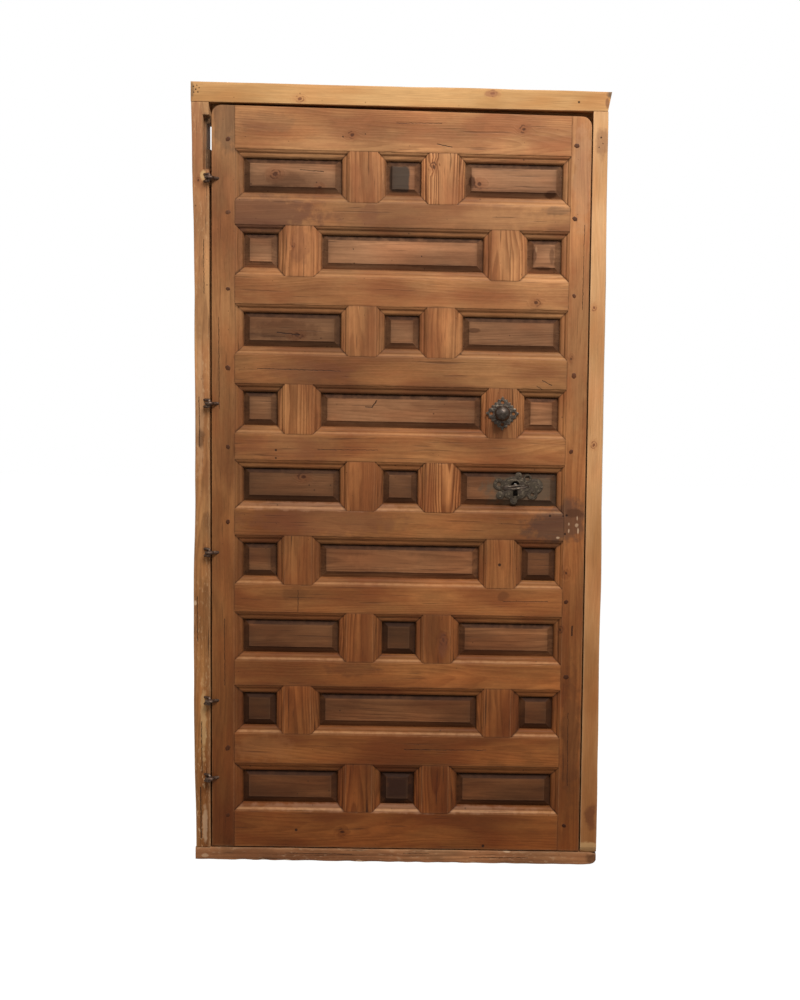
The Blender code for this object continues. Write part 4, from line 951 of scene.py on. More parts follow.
def iron(name, look):
    # Forged iron: dark scale, brown rust in patches, rubbed bright on the high spots, hammered surface
    material, tree, shader, place = newMaterial(name)
    rust = remap(noise(place, ironMix["rustScale"], detail=3.0, roughness=0.6), *ironMix["rustEdge"])
    bright = remap(noise(place, ironMix["brightScale"]), *ironMix["brightEdge"])
    tint = blend(rust, colour(*look["scale"]), colour(*look["rust"]))
    tint = blend(bright * look["shine"], tint, colour(*look["bright"]))
    link(tint, shader["Base Color"])
    rough = (look["roughness"], look["roughness"] + ironMix["rustRough"])
    link(remap(rust, 0.0, 1.0, *rough), shader["Roughness"])
    link(remap(rust, 0.0, 1.0, *ironMix["metal"]), shader["Metallic"])
    height = rust * ironMix["rustHeight"] + noise(place, ironMix["hammerScale"])
    bump = {"Strength": look["hammer"], "Distance": ironMix["bumpDepth"], "Height": height}
    link(put(tree, "Bump", bump), shader["Normal"])
    return material


# Finishes: sRGB colours as on the upper door, with the shares left of red, green and blue at the foot
leafLook = {
    "light": (180, 127, 82), "dark": (134, 85, 51), "patina": (140, 86, 54), "pit": (34, 20, 13),
    "knot": (70, 40, 26), "knotHalo": (122, 70, 42), "dirtAndShade": (44, 25, 15), "rubbedAndHighlight": (206, 154, 106),
    "footTint": (0.46, 0.305, 0.175), "ringWidth": 0.0055, "drift": 0.05, "deep": 0.05, "ring": 0.22,
    "ringSpread": 0.35, "streak": 0.9, "line": 0.16, "base": 0.24, "cloud": 0.75, "paintedLightToLock": 0.28,
    "toneSpread": 0.13, "grimeAndShade": 0.6, "rub": 0.5, "check": 0.45, "roughness": 0.5, "specular": 0.12,
    "flecks": 0.15, "splinter": 0.0, "mottle": 0.25, "evenness": 0.5, "hue": 0.055,
}
stileLook = {
    **leafLook, "paintedLightToLock": 0.0, "cloud": 0.6, "footTint": (0.43, 0.28, 0.16), "ring": 0.25,
    "streak": 1.2, "ringWidth": 0.005, "toneSpread": 0.16,
}
mullionLook = {
    **leafLook, "paintedLightToLock": 0.15, "cloud": 0.6, "footTint": (0.41, 0.265, 0.15), "ringWidth": 0.0085,
    "ring": 0.48, "ringSpread": 0.75, "streak": 1.2, "base": 0.14, "drift": 0.07, "deep": 0.03,
    "check": 0.85, "light": (188, 130, 84), "dark": (116, 68, 38),
}
panelLook = {
    **leafLook, "light": (185, 131, 92), "dark": (116, 75, 48), "patina": (106, 68, 45), "mottle": 0.22,
    "evenness": 0.8, "ring": 0.2, "streak": 1.3, "footTint": (0.30, 0.22, 0.15), "toneSpread": 0.2,
    "flecks": 0.12, "grimeAndShade": 0.85, "rub": 0.2, "rubbedAndHighlight": (176, 130, 92), "cloud": 0.5, "ringWidth": 0.006,
    "paintedLightToLock": 0.15,
}
headLook = {
    **leafLook, "paintedLightToLock": 0.0, "cloud": 0.6, "mottle": 0.10, "light": (206, 156, 102),
    "dark": (180, 127, 74), "patina": (194, 137, 80), "rubbedAndHighlight": (232, 192, 146),
    "footTint": (1.0, 1.0, 1.0), "dirtAndShade": (92, 60, 34), "check": 0.1, "roughness": 0.6,
    "knotHalo": (176, 116, 72), "knot": (116, 68, 44), "ring": 0.18, "line": 0.12,
}
lockJambLook = {
    **headLook, "light": (206, 157, 111), "dark": (186, 132, 82), "patina": (196, 138, 86),
    "footTint": (0.52, 0.38, 0.26),
}
hingeJambLook = {
    **leafLook, "paintedLightToLock": 0.0, "light": (190, 138, 92), "dark": (136, 93, 61), "patina": (160, 107, 69),
    "rubbedAndHighlight": (214, 174, 128), "ring": 0.3, "streak": 2.0, "ringWidth": 0.004, "check": 0.7,
    "roughness": 0.68, "footTint": (0.48, 0.36, 0.22), "rub": 0.6, "drift": 0.03, "splinter": 0.75,
    "flecks": 0.25, "mottle": 0.26, "cloud": 0.7,
}
sillLook = {
    **hingeJambLook, "light": (158, 108, 70), "dark": (102, 64, 40), "patina": (126, 80, 50),
    "footTint": (1.0, 1.0, 1.0), "rubbedAndHighlight": (190, 154, 118), "splinter": 0.35, "rub": 0.35,
}
pegLook = {
    **leafLook, "paintedLightToLock": 0.0, "light": (108, 68, 45), "dark": (66, 40, 27), "patina": (80, 48, 31),
    "grimeAndShade": 0.9,
}
ironLook = {
    "scale": (70, 62, 54), "rust": (66, 48, 36), "bright": (168, 150, 128), "shine": 0.45,
    "roughness": 0.45, "hammer": 0.3,
}
knobLook = {
    **ironLook, "scale": (72, 62, 54), "rust": (60, 48, 40), "shine": 0.12, "hammer": 0.10,
    "roughness": 0.38,
}
plateLook = {
    **ironLook, "scale": (74, 64, 52), "rust": (62, 48, 37), "bright": (146, 128, 104), "shine": 0.4,
    "hammer": 0.25, "roughness": 0.55,
}
hingeLook = {
    **ironLook, "scale": (84, 66, 54), "rust": (84, 58, 44), "bright": (160, 136, 116), "shine": 0.4,
}
caseLook = {**ironLook, "shine": 0.15, "hammer": 0.12}

# Stains that several boards share
stainDark = (72, 42, 24)
stainRed = (104, 62, 44)
stainGrey = (78, 64, 51)
paleChip = (196, 162, 128)
rawWood = (204, 164, 112)
railPine = pine(
    "railPine", "X", leafLook,
    knots=((-0.135, 1.937, 0.007), (0.314, 1.962, 0.008), (0.354, 1.515, 0.007), (-0.147, 0.082, 0.007)),
    stains=(
        (0.416, 0.925, 0.100, 0.056, 0.75, (74, 51, 40)), (-0.39, 1.732, 0.22, 0.055, 0.70, (94, 59, 44)),
        (-0.09, 1.735, 0.030, 0.035, 0.35, stainRed), (-0.24, 1.325, 0.14, 0.03, 0.30, stainRed),
        (-0.30, 1.120, 0.16, 0.045, 0.25, stainRed), (-0.20, 0.930, 0.24, 0.05, 0.35, stainRed),
        (-0.28, 0.730, 0.04, 0.02, 0.30, stainDark), (0.28, 0.735, 0.020, 0.015, 0.40, stainDark),
        (-0.36, 0.310, 0.10, 0.04, 0.30, (150, 98, 58)), (0.06, 1.735, 0.36, 0.05, 0.30, (112, 72, 50)),
        (0.425, 0.895, 0.006, 0.0035, 0.6, paleChip), (-0.36, 1.965, 0.10, 0.03, 0.22, stainGrey),
        (-0.12, 0.527, 0.09, 0.022, 0.40, stainDark), (0.405, 1.755, 0.050, 0.014, 0.40, stainGrey),
        # The next two pale bands lie on the mouldings below the openings of rows 9 and 5, which face up: a
        # painted highlight
        (0.0, 0.148, 0.46, 0.014, 0.35, (172, 128, 100)),
        (-0.2, 0.966, 0.28, 0.014, 0.30, (186, 138, 104)),
    ),
    holes=(
        (-0.330, 1.114, 0.004), (-0.330, 1.093, 0.003), (-0.272, 0.0855, 0.005), (0.237, 0.0485, 0.005),
        (0.402, 0.953, 0.004), (0.4375, 0.953, 0.003), (-0.158, 1.932, 0.0025), (-0.1, 1.94, 0.002),
    ),
    cracks=(
        (0.087, 1.919, 0.126, 1.912, 0.0016), (-0.2697, 0.741, -0.2697, 0.684, 0.0010),
        (-0.02, 1.97, 0.10, 1.972, 0.0010), (0.28, 0.72, 0.40, 0.722, 0.0010),
        (0.375, 1.312, 0.400, 1.300, 0.0014), (0.360, 1.296, 0.374, 1.288, 0.0014),
        (-0.38, 1.328, -0.16, 1.326, 0.0011), (0.02, 0.312, 0.24, 0.314, 0.0011),
        (-0.22, 1.118, -0.06, 1.119, 0.0010),
    ),
)
stilePine = pine(
    "stilePine", "Z", stileLook,
    knots=((0.4494, 1.370, 0.005), (0.448, 0.800, 0.006), (0.4352, 0.646, 0.006)),
    stains=(
        (0.458, 0.945, 0.052, 0.068, 0.70, (80, 55, 42)), (0.468, 0.962, 0.030, 0.016, 0.6, stainDark),
        (0.470, 0.36, 0.030, 0.22, 0.45, stainDark), (-0.462, 1.985, 0.04, 0.12, 0.45, stainGrey),
        (0.478, 0.913, 0.0028, 0.010, 0.7, paleChip), (0.474, 0.930, 0.0055, 0.006, 0.5, paleChip),
        (0.475, 0.948, 0.0025, 0.008, 0.6, paleChip), (0.453, 0.914, 0.0025, 0.007, 0.6, paleChip),
        (0.453, 0.932, 0.0025, 0.005, 0.5, paleChip), (-0.47, 1.15, 0.03, 0.25, 0.12, stainDark),
        (0.470, 1.84, 0.03, 0.16, 0.2, (192, 152, 118)), (0.470, 1.45, 0.03, 0.35, 0.22, (168, 124, 80)),
    ),
    holes=((0.443, 0.905, 0.004), (0.4465, 0.955, 0.004)),
    cracks=(
        (0.4675, 0.656, 0.4675, 0.631, 0.0028), (0.478, 1.72, 0.477, 1.50, 0.0011),
        (-0.481, 1.46, -0.480, 1.22, 0.0011), (0.462, 0.42, 0.463, 0.22, 0.0011),
        (-0.466, 0.66, -0.465, 0.48, 0.0011),
    ),
)
mullionPine = pine(
    "mullionPine", "Z", mullionLook,
    knots=((0.080, 1.860, 0.007), (-0.288, 1.648, 0.004), (0.121, 0.612, 0.009)),
    stains=((-0.270, 1.650, 0.030, 0.060, 0.35, stainRed), (0.122, 0.600, 0.016, 0.040, 0.45, stainRed)),
    holes=((0.269, 0.819, 0.005),),
)
panelPine = pine(
    "panelPine", "X", panelLook,
    knots=(
        (-0.336, 1.834, 0.009), (-0.218, 1.803, 0.006), (0.199, 1.819, 0.008), (-0.277, 1.418, 0.009),
        (-0.259, 1.044, 0.008),
    ),
    stains=(
        (-0.0105, 1.829, 0.0275, 0.036, 0.92, (63, 54, 45), "square"),
        (0.0, 0.203, 0.060, 0.060, 0.92, (44, 24, 15)), (0.340, 1.020, 0.125, 0.090, 0.90, (90, 73, 56)),
        (0.347, 1.640, 0.007, 0.026, 0.55, stainDark), (0.393, 1.636, 0.007, 0.024, 0.5, stainDark),
        (0.372, 1.606, 0.026, 0.007, 0.6, stainDark), (0.352, 1.655, 0.004, 0.010, 0.35, (190, 146, 106)),
        (0.180, 1.826, 0.010, 0.018, 0.85, stainDark), (0.388, 1.799, 0.018, 0.012, 0.85, stainDark),
        (-0.31, 1.43, 0.10, 0.03, 0.5, stainDark), (0.191, 1.441, 0.02, 0.008, 0.7, stainDark),
        (-0.03, 0.825, 0.12, 0.030, 0.35, (150, 96, 60)), (0.0, 1.022, 0.05, 0.05, 0.4, stainDark),
        (-0.3, 1.82, 0.06, 0.02, 0.4, stainDark),
    ),
    holes=((-0.13, 1.645, 0.002), (0.05, 1.63, 0.002)),
    cracks=(
        (-0.094, 1.233, -0.076, 1.232, 0.0016), (-0.0765, 1.232, -0.0655, 1.250, 0.0022),
        (-0.33, 1.424, -0.27, 1.419, 0.0018), (-0.27, 1.846, -0.21, 1.843, 0.0014),
    ),
)
headPine = pine(
    "headPine", "X", headLook,
    knots=((-0.272, 2.0245, 0.007), (0.231, 2.050, 0.007)),
    stains=(
        (0.228, 2.050, 0.020, 0.012, 0.55, (142, 92, 66)), (0.545, 2.056, 0.018, 0.016, 0.8, stainGrey),
        (0.53, 2.032, 0.006, 0.016, 0.6, stainRed), (-0.552, 2.04, 0.008, 0.03, 0.5, stainGrey),
    ),
    holes=(
        (-0.546, 2.050, 0.0022), (-0.537, 2.053, 0.0020), (-0.540, 2.043, 0.0024),
        (-0.531, 2.047, 0.0018), (-0.5345, 2.036, 0.0022), (-0.545, 2.035, 0.0018),
        (0.456, 2.034, 0.0035),
    ),
)
lockJambPine = pine(
    "lockJambPine", "Z", lockJambLook,
    knots=((0.507, 1.505, 0.005), (0.515, 1.144, 0.006)),
    stains=(
        (0.52, 1.93, 0.02, 0.05, 0.45, stainRed), (0.52, 0.050, 0.05, 0.017, 0.5, rawWood),
        (0.528, 0.135, 0.018, 0.045, 0.75, (100, 56, 32)),
        (0.539, 1.40, 0.004, 0.45, 0.5, (158, 138, 114)),
    ),
    holes=((0.516, 1.945, 0.003), (0.521, 1.930, 0.002), (0.511, 1.920, 0.002)),
)
hingeJambPine = pine(
    "hingeJambPine", "Z", hingeJambLook,
    knots=((-0.534, 1.811, 0.005),),
    stains=(
        (-0.530, 1.22, 0.012, 0.22, 0.40, (198, 154, 112)), (-0.5275, 1.142, 0.012, 0.03, 0.6, stainDark),
        (-0.544, 0.702, 0.005, 0.008, 0.9, paleChip), (-0.522, 0.38, 0.009, 0.12, 0.5, rawWood),
        (-0.518, 0.10, 0.008, 0.060, 0.5, paleChip), (-0.521, 1.824, 0.009, 0.016, 0.75, rawWood),
        (-0.512, 1.91, 0.0093, 0.074, 0.75, stainGrey, "square"),
        (-0.537, 1.93, 0.02, 0.11, 0.45, (150, 94, 62)),
    ),
    cracks=(
        (-0.527, 0.38, -0.526, 0.24, 0.0016), (-0.530, 0.20, -0.528, 0.06, 0.0020),
        (-0.533, 1.25, -0.531, 1.12, 0.0014), (-0.520, 1.66, -0.519, 1.52, 0.0012),
        (-0.538, 0.72, -0.537, 0.60, 0.0012),
    ),
)
sillPine = pine(
    "sillPine", "X", sillLook,
    stains=(
        (0.30, 0.034, 0.012, 0.003, 0.7, paleChip), (0.21, 0.003, 0.012, 0.003, 0.7, paleChip),
        (-0.30, 0.003, 0.014, 0.003, 0.8, paleChip), (-0.36, 0.003, 0.008, 0.003, 0.8, paleChip),
        (-0.10, 0.003, 0.010, 0.003, 0.7, paleChip), (-0.52, 0.012, 0.012, 0.006, 0.5, paleChip),
        (0.535, 0.018, 0.02, 0.02, 0.6, stainDark),
    ),
    cracks=(
        (-0.30, 0.022, -0.12, 0.021, 0.0012), (0.20, 0.017, 0.36, 0.018, 0.0012),
        (0.02, 0.026, 0.09, 0.026, 0.0010),
    ),
)
pegPine = pine("pegPine", "Z", pegLook)
forgedIron = iron("forgedIron", ironLook)
knobIron = iron("knobIron", knobLook)
plateIron = iron("plateIron", plateLook)
hingeIron = iron("hingeIron", hingeLook)
caseIron = iron("caseIron", caseLook)
print("finishes made")

# Lock: the keyhole's place and shape, and the same a little wider through the panel behind its plate
lock = {"row": 5, "x": 0.308, "z": 1.0315, "holeRadius": 0.012, "slotWidth": 0.012, "slotLength": 0.027}
panelKeyhole = {"x": lock["x"], "z": lock["z"], "radius": 0.0128, "slotWidth": 0.0135, "slotLength": 0.0280}

# Leaf, with the shade of a few boards given and the rest drawn at random
railShades = {0: 0.7, 1: -1.4, 2: -0.1, 3: -1.2, 6: 0.7, 7: 1.0, 8: 0.2}
shadeGroups = {
    -3.0: ((7, 1), (8, 0)), -2.2: ((3, 0), (5, 0), (6, 2)), -1.2: ((4, 0), (6, 0)), -0.3: ((3, 2), (9, 0)),
    0.6: ((2, 0), (2, 2)), 1.7: ((4, 2), (6, 1), (7, 2)),
}
panelShades = {place: shade for shade, places in shadeGroups.items() for place in places}
for number in range(rowCount + 1):
    railName = {0: "top_rail", rowCount: "bottom_rail"}.get(number, f"rail_{number + 1}")
    addMember(railName, "X", railPine, 10 + number, railFront(number, 10 + number), railShades.get(number))
# The hinge stile is darker and the lock stile paler, partly as a painted fall of light from the lock side
# to the hinge side
addMember("hinge_stile", "Z", stilePine, 31, stileFront(-1, 31), -0.7)
addMember("lock_stile", "Z", stilePine, 32, stileFront(1, 32), 0.7)
for row in range(1, rowCount + 1):
    for sideName, centre in zip(("left", "right"), mullionCentres(row)):
        seed = 40 + 2 * row + (sideName == "right")
        name = f"mullion_{row}_{sideName}"
        tone = 1.0 if name == "mullion_5_right" else None
        addMember(name, "Z", mullionPine, seed, mullionFront(row, centre, seed), tone)
    addPanelRow(row, panelPine, 100 + 5 * row, panelShades, panelKeyhole if row == lock["row"] else None)
print("leaf made")

# Frame round the leaf
frameSize = {
    "front": -0.042, "back": 0.042, "lipFront": 0.0025, "sillTop": 0.036, "headFoot": 2.012,
    "headTop": 2.064, "lipFoot": 1.984, "hingeInner": -0.506, "hingeLip": -0.4855, "lockGap": 0.0036,
    "lipOverlap": 0.014, "lockWidthTop": 0.041, "lockWidthFoot": 0.047, "headLeft": -0.553,
    "headRight": 0.5425, "sillLeft": -0.544, "sillRight": 0.5465, "notchLeft": -0.521, "notchBack": -0.012,
    "notchSpan": (1.840, 1.980), "windowSpan": (1.895, 1.962), "windowLeft": -0.5155, "gap": 0.0003,
    "step": 0.012, "stepGap": 0.0002,
    # Slow waves of outer faces, as height and length
    "waneyWave": (0.0007, 0.40), "lockWave": (0.0010, 0.45), "headWave": (0.0005, 0.5),
    # The hinge jamb leans a little inside. Its waney outer edge, as heights and places there
    "hingeLean": 0.003, "leanTop": 2.0, "leanLength": 1.2, "waneyInset": 0.0001,
    "waneyHeights": (0.054, 0.22, 0.44, 0.71, 0.98, 1.24, 1.50, 1.76, 2.01),
    "waneyEdge": (-0.543, -0.546, -0.549, -0.549, -0.544, -0.544, -0.5455, -0.5485, -0.5526),
    # The head's right end is cut on the slant, the sill's is rounded
    "slantStart": 0.50, "slantLength": 0.0425, "slantHeight": 0.052, "slantCut": 0.010,
    "slantMost": 1.5, "roundLength": 0.022, "roundDepth": 0.014, "roundMost": 0.98, "footShare": 0.9,
    "topShare": 0.7, "sillFoot": 0.0004,
}
# Wear of a piece's edges, then of single edges by number: middle, change, length of waves and their limits
frameWear = {
    "hinge_jamb": (0.0008, {0: (0.0018, 0.0012, 0.25, -2, 2), 1: (0.0006, 0.0012, 0.06, 0, 1)}),
    "lock_jamb": (0.0007, {1: (0.0022, 0.0012, 0.22, -2, 2)}),
    "frame_head": (0.0008, {5: (0.0014, 0.0007, 0.3, -2, 2)}),
    "sill": (0.0010, {0: (0.0020, 0.0020, 0.07, -0.6, 1), 3: (0.0014, 0.0010, 0.09, -2, 2)}),
}
calmEdge = {"from": 1.83, "share": 0.4}
strike = {"span": (1.041, 1.060), "front": 0.0098, "back": 0.0228, "end": 0.495}
footBevel = {"height": 0.014, "depth": 0.007}


def stationsWith(start, end, steps):
    # Even stations with a pair just inside and outside of each step
    gap = frameSize["stepGap"]
    pairs = [place + shift for place in steps for shift in (-gap, gap)]
    return spread(start, end, frameSize["step"], pairs, near=(0.002, 0.006))


def section(stations, *corners):
    # Corners across an axis, each given by two places that stay or change from station to station
    spots = [[np.broadcast_to(place, len(stations)) for place in corner] for corner in corners]
    return np.array(spots).transpose(2, 0, 1)


def jambStations(steps):
    gap = frameSize["gap"]
    return stationsWith(frameSize["sillTop"] + gap, frameSize["headFoot"] - gap, steps)


def wearOf(piece, corners, stations, seed):
    # Wear of every edge at every station; some edges wear unevenly
    everywhere, uneven = frameWear[piece]
    worn = np.full(corners.shape[:2], everywhere)
    for row, (edge, (middle, change, length, low, high)) in enumerate(uneven.items(), 1):
        worn[:, edge] = middle + change * np.clip(ripple(stations, row, seed + row, length), low, high)
    return worn


def hingeJamb(seed):
    # Waney outer edge, an old hinge's notch with a slot through behind it
    size = frameSize
    z = jambStations([*size["notchSpan"], *size["windowSpan"], size["lipFoot"]])
    wave, length = size["waneyWave"]
    outer = np.interp(z, size["waneyHeights"], size["waneyEdge"]) + wave * ripple(z, 0, seed, length)
    outer = np.maximum(outer, size["headLeft"] + size["waneyInset"])
    window = between(z, size["windowSpan"])
    leaning = np.clip((size["leanTop"] - z) / size["leanLength"], 0, 1)
    inner = size["hingeInner"] + size["hingeLean"] * leaning
    lip = np.where(z < size["lipFoot"] - size["gap"], size["hingeLip"], inner)
    lip = np.where(window, size["windowLeft"], lip)
    faceEnd = np.where(between(z, size["notchSpan"]), size["notchLeft"], inner)
    floorEnd = np.where(window, size["windowLeft"], inner)
    corners = section(
        z, (outer, size["front"]), (faceEnd, size["front"]), (faceEnd, size["notchBack"]),
        (floorEnd, size["notchBack"]), (floorEnd, size["lipFront"]), (lip, size["lipFront"]),
        (lip, size["back"]), (outer, size["back"]))
    worn = wearOf("hinge_jamb", corners, z, seed)
    worn[:, 0] *= np.where(z > calmEdge["from"], calmEdge["share"], 1)
    return sweep("Z", z, corners, seed, (6, 4, 2, 2, 3, 4, 8, 8), worn, wave=0.0006, waveSize=0.3)


def lockJamb(seed):
    # Leaning jamb that widens to the foot, with the bolt's mortise in its lip and a bevel at the foot
    size = frameSize
    bevelTop = size["sillTop"] + footBevel["height"]
    z = jambStations([*strike["span"], size["lipFoot"], bevelTop])
    inner = lockEdge(z) + size["lockGap"]
    share = (z - z[0]) / (z[-1] - z[0])
    outer = inner + size["lockWidthFoot"] + share * (size["lockWidthTop"] - size["lockWidthFoot"])
    wave, length = size["lockWave"]
    outer = outer - wave * (1 + ripple(z, 0, seed, length))
    lip = np.where(z < size["lipFoot"] - size["gap"], lockEdge(z) - size["lipOverlap"], inner)
    pocket = np.where(between(z, strike["span"]), strike["end"], lip)
    front = size["front"] + footBevel["depth"] * np.clip((bevelTop - z) / footBevel["height"], 0, 1)
    corners = section(
        z, (inner, front), (outer, front), (outer, size["back"]), (lip, size["back"]),
        (lip, strike["back"]), (pocket, strike["back"]), (pocket, strike["front"]), (lip, strike["front"]),
        (lip, size["lipFront"]), (inner, size["lipFront"]))
    worn = wearOf("lock_jamb", corners, z, seed)
    return sweep("Z", z, corners, seed, (6, 8, 8, 3, 1, 1, 1, 1, 3, 4), worn)


def headPiece(seed):
    # Head with a stop lip between the jambs, its right end cut on the slant
    size = frameSize
    lipSpan = (size["hingeInner"] + size["gap"], lockEdge(size["headFoot"]) + size["lockGap"] - size["gap"])
    x = stationsWith(size["headLeft"], size["headRight"], lipSpan)
    foot = np.where(between(x, lipSpan), size["lipFoot"], size["headFoot"])
    wave, length = size["headWave"]
    top = size["headTop"] - wave * (1 + ripple(x, 0, seed, length))
    corners = section(
        x, (size["front"], size["headFoot"]), (size["lipFront"], size["headFoot"]),
        (size["lipFront"], foot), (size["back"], foot), (size["back"], top), (size["front"], top))
    worn = wearOf("frame_head", corners, x, seed)
    points, quads, fans, marks = sweep("X", x, corners, seed, (6, 2, 4, 8, 8, 7), worn)
    slant = np.clip((points[:, 0] - size["slantStart"]) / size["slantLength"], 0, 1)
    slant *= np.clip((size["headTop"] - points[:, 2]) / size["slantHeight"], 0, size["slantMost"])
    points[:, 0] -= size["slantCut"] * slant
    return points, quads, fans, marks


def sillPiece(seed):
    # Sill with worn edges, rounded at its right end
    size = frameSize
    x = spread(size["sillLeft"], size["sillRight"], size["step"], near=(0.001, 0.003, 0.006, 0.010, 0.016))
    ending = np.clip((x - (size["sillRight"] - size["roundLength"])) / size["roundLength"], 0, 1)
    rounding = size["roundDepth"] * (1 - np.sqrt(1 - np.minimum(ending, size["roundMost"]) ** 2))
    foot = size["sillFoot"] + rounding * size["footShare"]
    top = size["sillTop"] - rounding * size["topShare"]
    front = size["front"] + rounding
    corners = section(x, (front, foot), (size["back"], foot), (size["back"], top), (front, top))
    worn = wearOf("sill", corners, x, seed)
    return sweep("X", x, corners, seed, (8, 7, 8, 7), worn)


addFramePiece("frame_head", headPiece(71), "X", headPine, "frame_pine", 71)
addFramePiece("hinge_jamb", hingeJamb(72), "Z", hingeJambPine, "weathered_pine", 72)
addFramePiece("lock_jamb", lockJamb(73), "Z", lockJambPine, "frame_pine", 73)
addFramePiece("sill", sillPiece(74), "X", sillPine, "weathered_pine", 74)
print("frame made")

# Hinges: forged eyes that link like a chain, one driven into the leaf and a staple into the jamb
hinge = {
    "x": -0.50275, "y": -0.0548, "heights": (1.818, 1.234, 0.839, 0.439, 0.228), "wire": 0.0045,
    "ring": 0.0086, "stapleWire": 0.0040, "leafReach": 0.043, "stapleReach": 0.050, "stapleBend": 0.0045,
    "stapleLow": -0.0086, "stapleHigh": 0.0090, "thinnest": 0.94, "blow": 0.06, "blowLength": 0.25,
    "shankShare": 0.97,
}


def forgedRadius(count, seed, size):
    # Bar thickness that varies from blow to blow, never above its full size
    blows = np.clip(ripple(np.arange(count) / count, 0, seed, hinge["blowLength"]), -1, 1)
    return size * (hinge["thinnest"] + hinge["blow"] * blows)


def leafEye(height, seed):
    # A ring about the leaf's axis, and a shank on the slant into the leaf's edge
    axis = np.array([hinge["x"], hinge["y"], height])
    angle = circle(40)
    ring = axis + hinge["ring"] * np.stack([np.cos(angle), np.sin(angle), 0 * angle], 1)
    reach = np.linspace(hinge["ring"], hinge["leafReach"], 10)[:, None] / math.sqrt(2)
    shank = axis + reach * np.array([1, 1, 0])
    return joined([bar(ring, forgedRadius(len(ring), seed, hinge["wire"]), (0, 0, 1), True),
                   bar(shank, hinge["wire"] * hinge["shankShare"], (0, 0, 1))])


def jambStaple(height, seed):
    # Two legs in the jamb, joined by two quarter bends; worked out as distance from the axis and height
    bend = hinge["stapleBend"]
    low, high = height + hinge["stapleLow"], height + hinge["stapleHigh"]
    leg = np.linspace(hinge["stapleReach"], bend, 10)
    path = np.concatenate([
        np.stack([leg, leg * 0 + low], 1), arc((bend, low + bend), bend, 270, 180, 9)[1:],
        arc((bend, high - bend), bend, 180, 90, 9), np.stack([leg[::-1][1:], leg[1:] * 0 + high], 1)])
    slanted = path[:, 0] / math.sqrt(2)
    points = np.column_stack([hinge["x"] - slanted, hinge["y"] + slanted, path[:, 1]])
    radii = forgedRadius(len(path), seed, hinge["stapleWire"])
    return bar(points, radii, (math.sqrt(0.5), math.sqrt(0.5), 0))


def addIron(name, shape, body, material):
    addPiece(name, *shape, material, body, "forged_iron", [name], sharpAngle=40)


for number, height in enumerate(hinge["heights"], 1):
    addIron(f"leaf_eye_{number}", leafEye(height, 200 + number), "leaf", hingeIron)
    addIron(f"jamb_eye_{number}", jambStaple(height, 220 + number), "frame", hingeIron)

# Knob on its rosette: a scalloped, pierced diamond with a raised rim and four nails. Heights are from
# the leaf's face, those of the knob's flange from its foot
knob = {
    "x": 0.2702, "z": 1.223, "foot": 0.0031, "neck": 0.008, "ball": 0.021, "standoff": 0.028,
    "shank": 0.0045, "shankBack": -0.0500, "dent": 0.00035, "dentSize": 0.016, "dentFrom": 0.009,
    "ballEnd": 88,
    "flange": (
        (0.0132, 0), (0.0140, 0.0005), (0.0139, 0.0011), (0.0118, 0.0018), (0.0090, 0.0024),
        (0.0080, 0.0034),
    ),
}
rosette = {
    "half": 0.045, "thickness": 0.0025, "bevel": 0.0006, "gap": 0.0003, "power": 1.15, "scallops": 20,
    "ripple": 0.05, "piercing": 0.0045, "piercingReach": 0.0295, "nailReach": 0.0235, "nail": 0.0030,
    "nailHeight": 0.0014, "nailSink": 0.0004, "rim": 0.0195, "bead": 0.0011,
}


def rosetteEdge():
    # A rounded diamond whose edge waves in and out
    angle = circle(rosette["scallops"] * 12)
    power, wave = rosette["power"], rosette["ripple"]
    reach = (abs(np.cos(angle)) ** power + abs(np.sin(angle)) ** power) ** (-1 / power)
    reach *= rosette["half"] * (1 - wave + wave * np.cos(rosette["scallops"] * angle))
    return np.stack([reach * np.cos(angle), reach * np.sin(angle)], 1)


def around(reach, degrees):
    # Sideways and upward shares of a reach in some direction
    return reach * math.cos(math.radians(degrees)), reach * math.sin(math.radians(degrees))


# Nail heads: degrees up the dome, and their width below the face
nailHead = {"angles": (0, 25, 50, 72), "below": 0.98, "sides": 14}


def dome(x, y, z, radius, height):
    # A low rounded head sunk a little below its face
    angle = np.radians(nailHead["angles"])
    cap = np.stack([radius * np.cos(angle), height * np.sin(angle)], 1)
    foot = [(radius * nailHead["below"], -height)]
    return turned((x, y, z), np.concatenate([foot, cap]), nailHead["sides"])


def ringBead(x, y, z, radius, bead):
    # A round rim lying half in the face
    angle = circle(10)
    return turned((x, y, z), np.stack([radius + bead * np.cos(angle), bead * np.sin(angle)], 1), 36, True)


def roundHole(centre, radius):
    return arc(centre, radius, 0, 345, 24)


def knobRosette():
    x, z = knob["x"], knob["z"]
    front = leaf["front"] - rosette["gap"] - rosette["thickness"]
    loops = [rosetteEdge(), roundHole((0, 0), knob["shank"] + rosette["gap"])]
    nails = []
    for quarter in (0, 90, 180, 270):
        loops.append(roundHole(around(rosette["piercingReach"], quarter), rosette["piercing"]))
        across, up = around(rosette["nailReach"], quarter + 45)
        place = (x + across, front + rosette["nailSink"], z + up)
        nails.append(dome(*place, rosette["nail"], rosette["nailHeight"]))
    sheet = plate(loops, rosette["thickness"], rosette["bevel"], (x, front + rosette["thickness"] / 2, z))
    return joined([sheet, ringBead(x, front, z, rosette["rim"], rosette["bead"]), *nails])


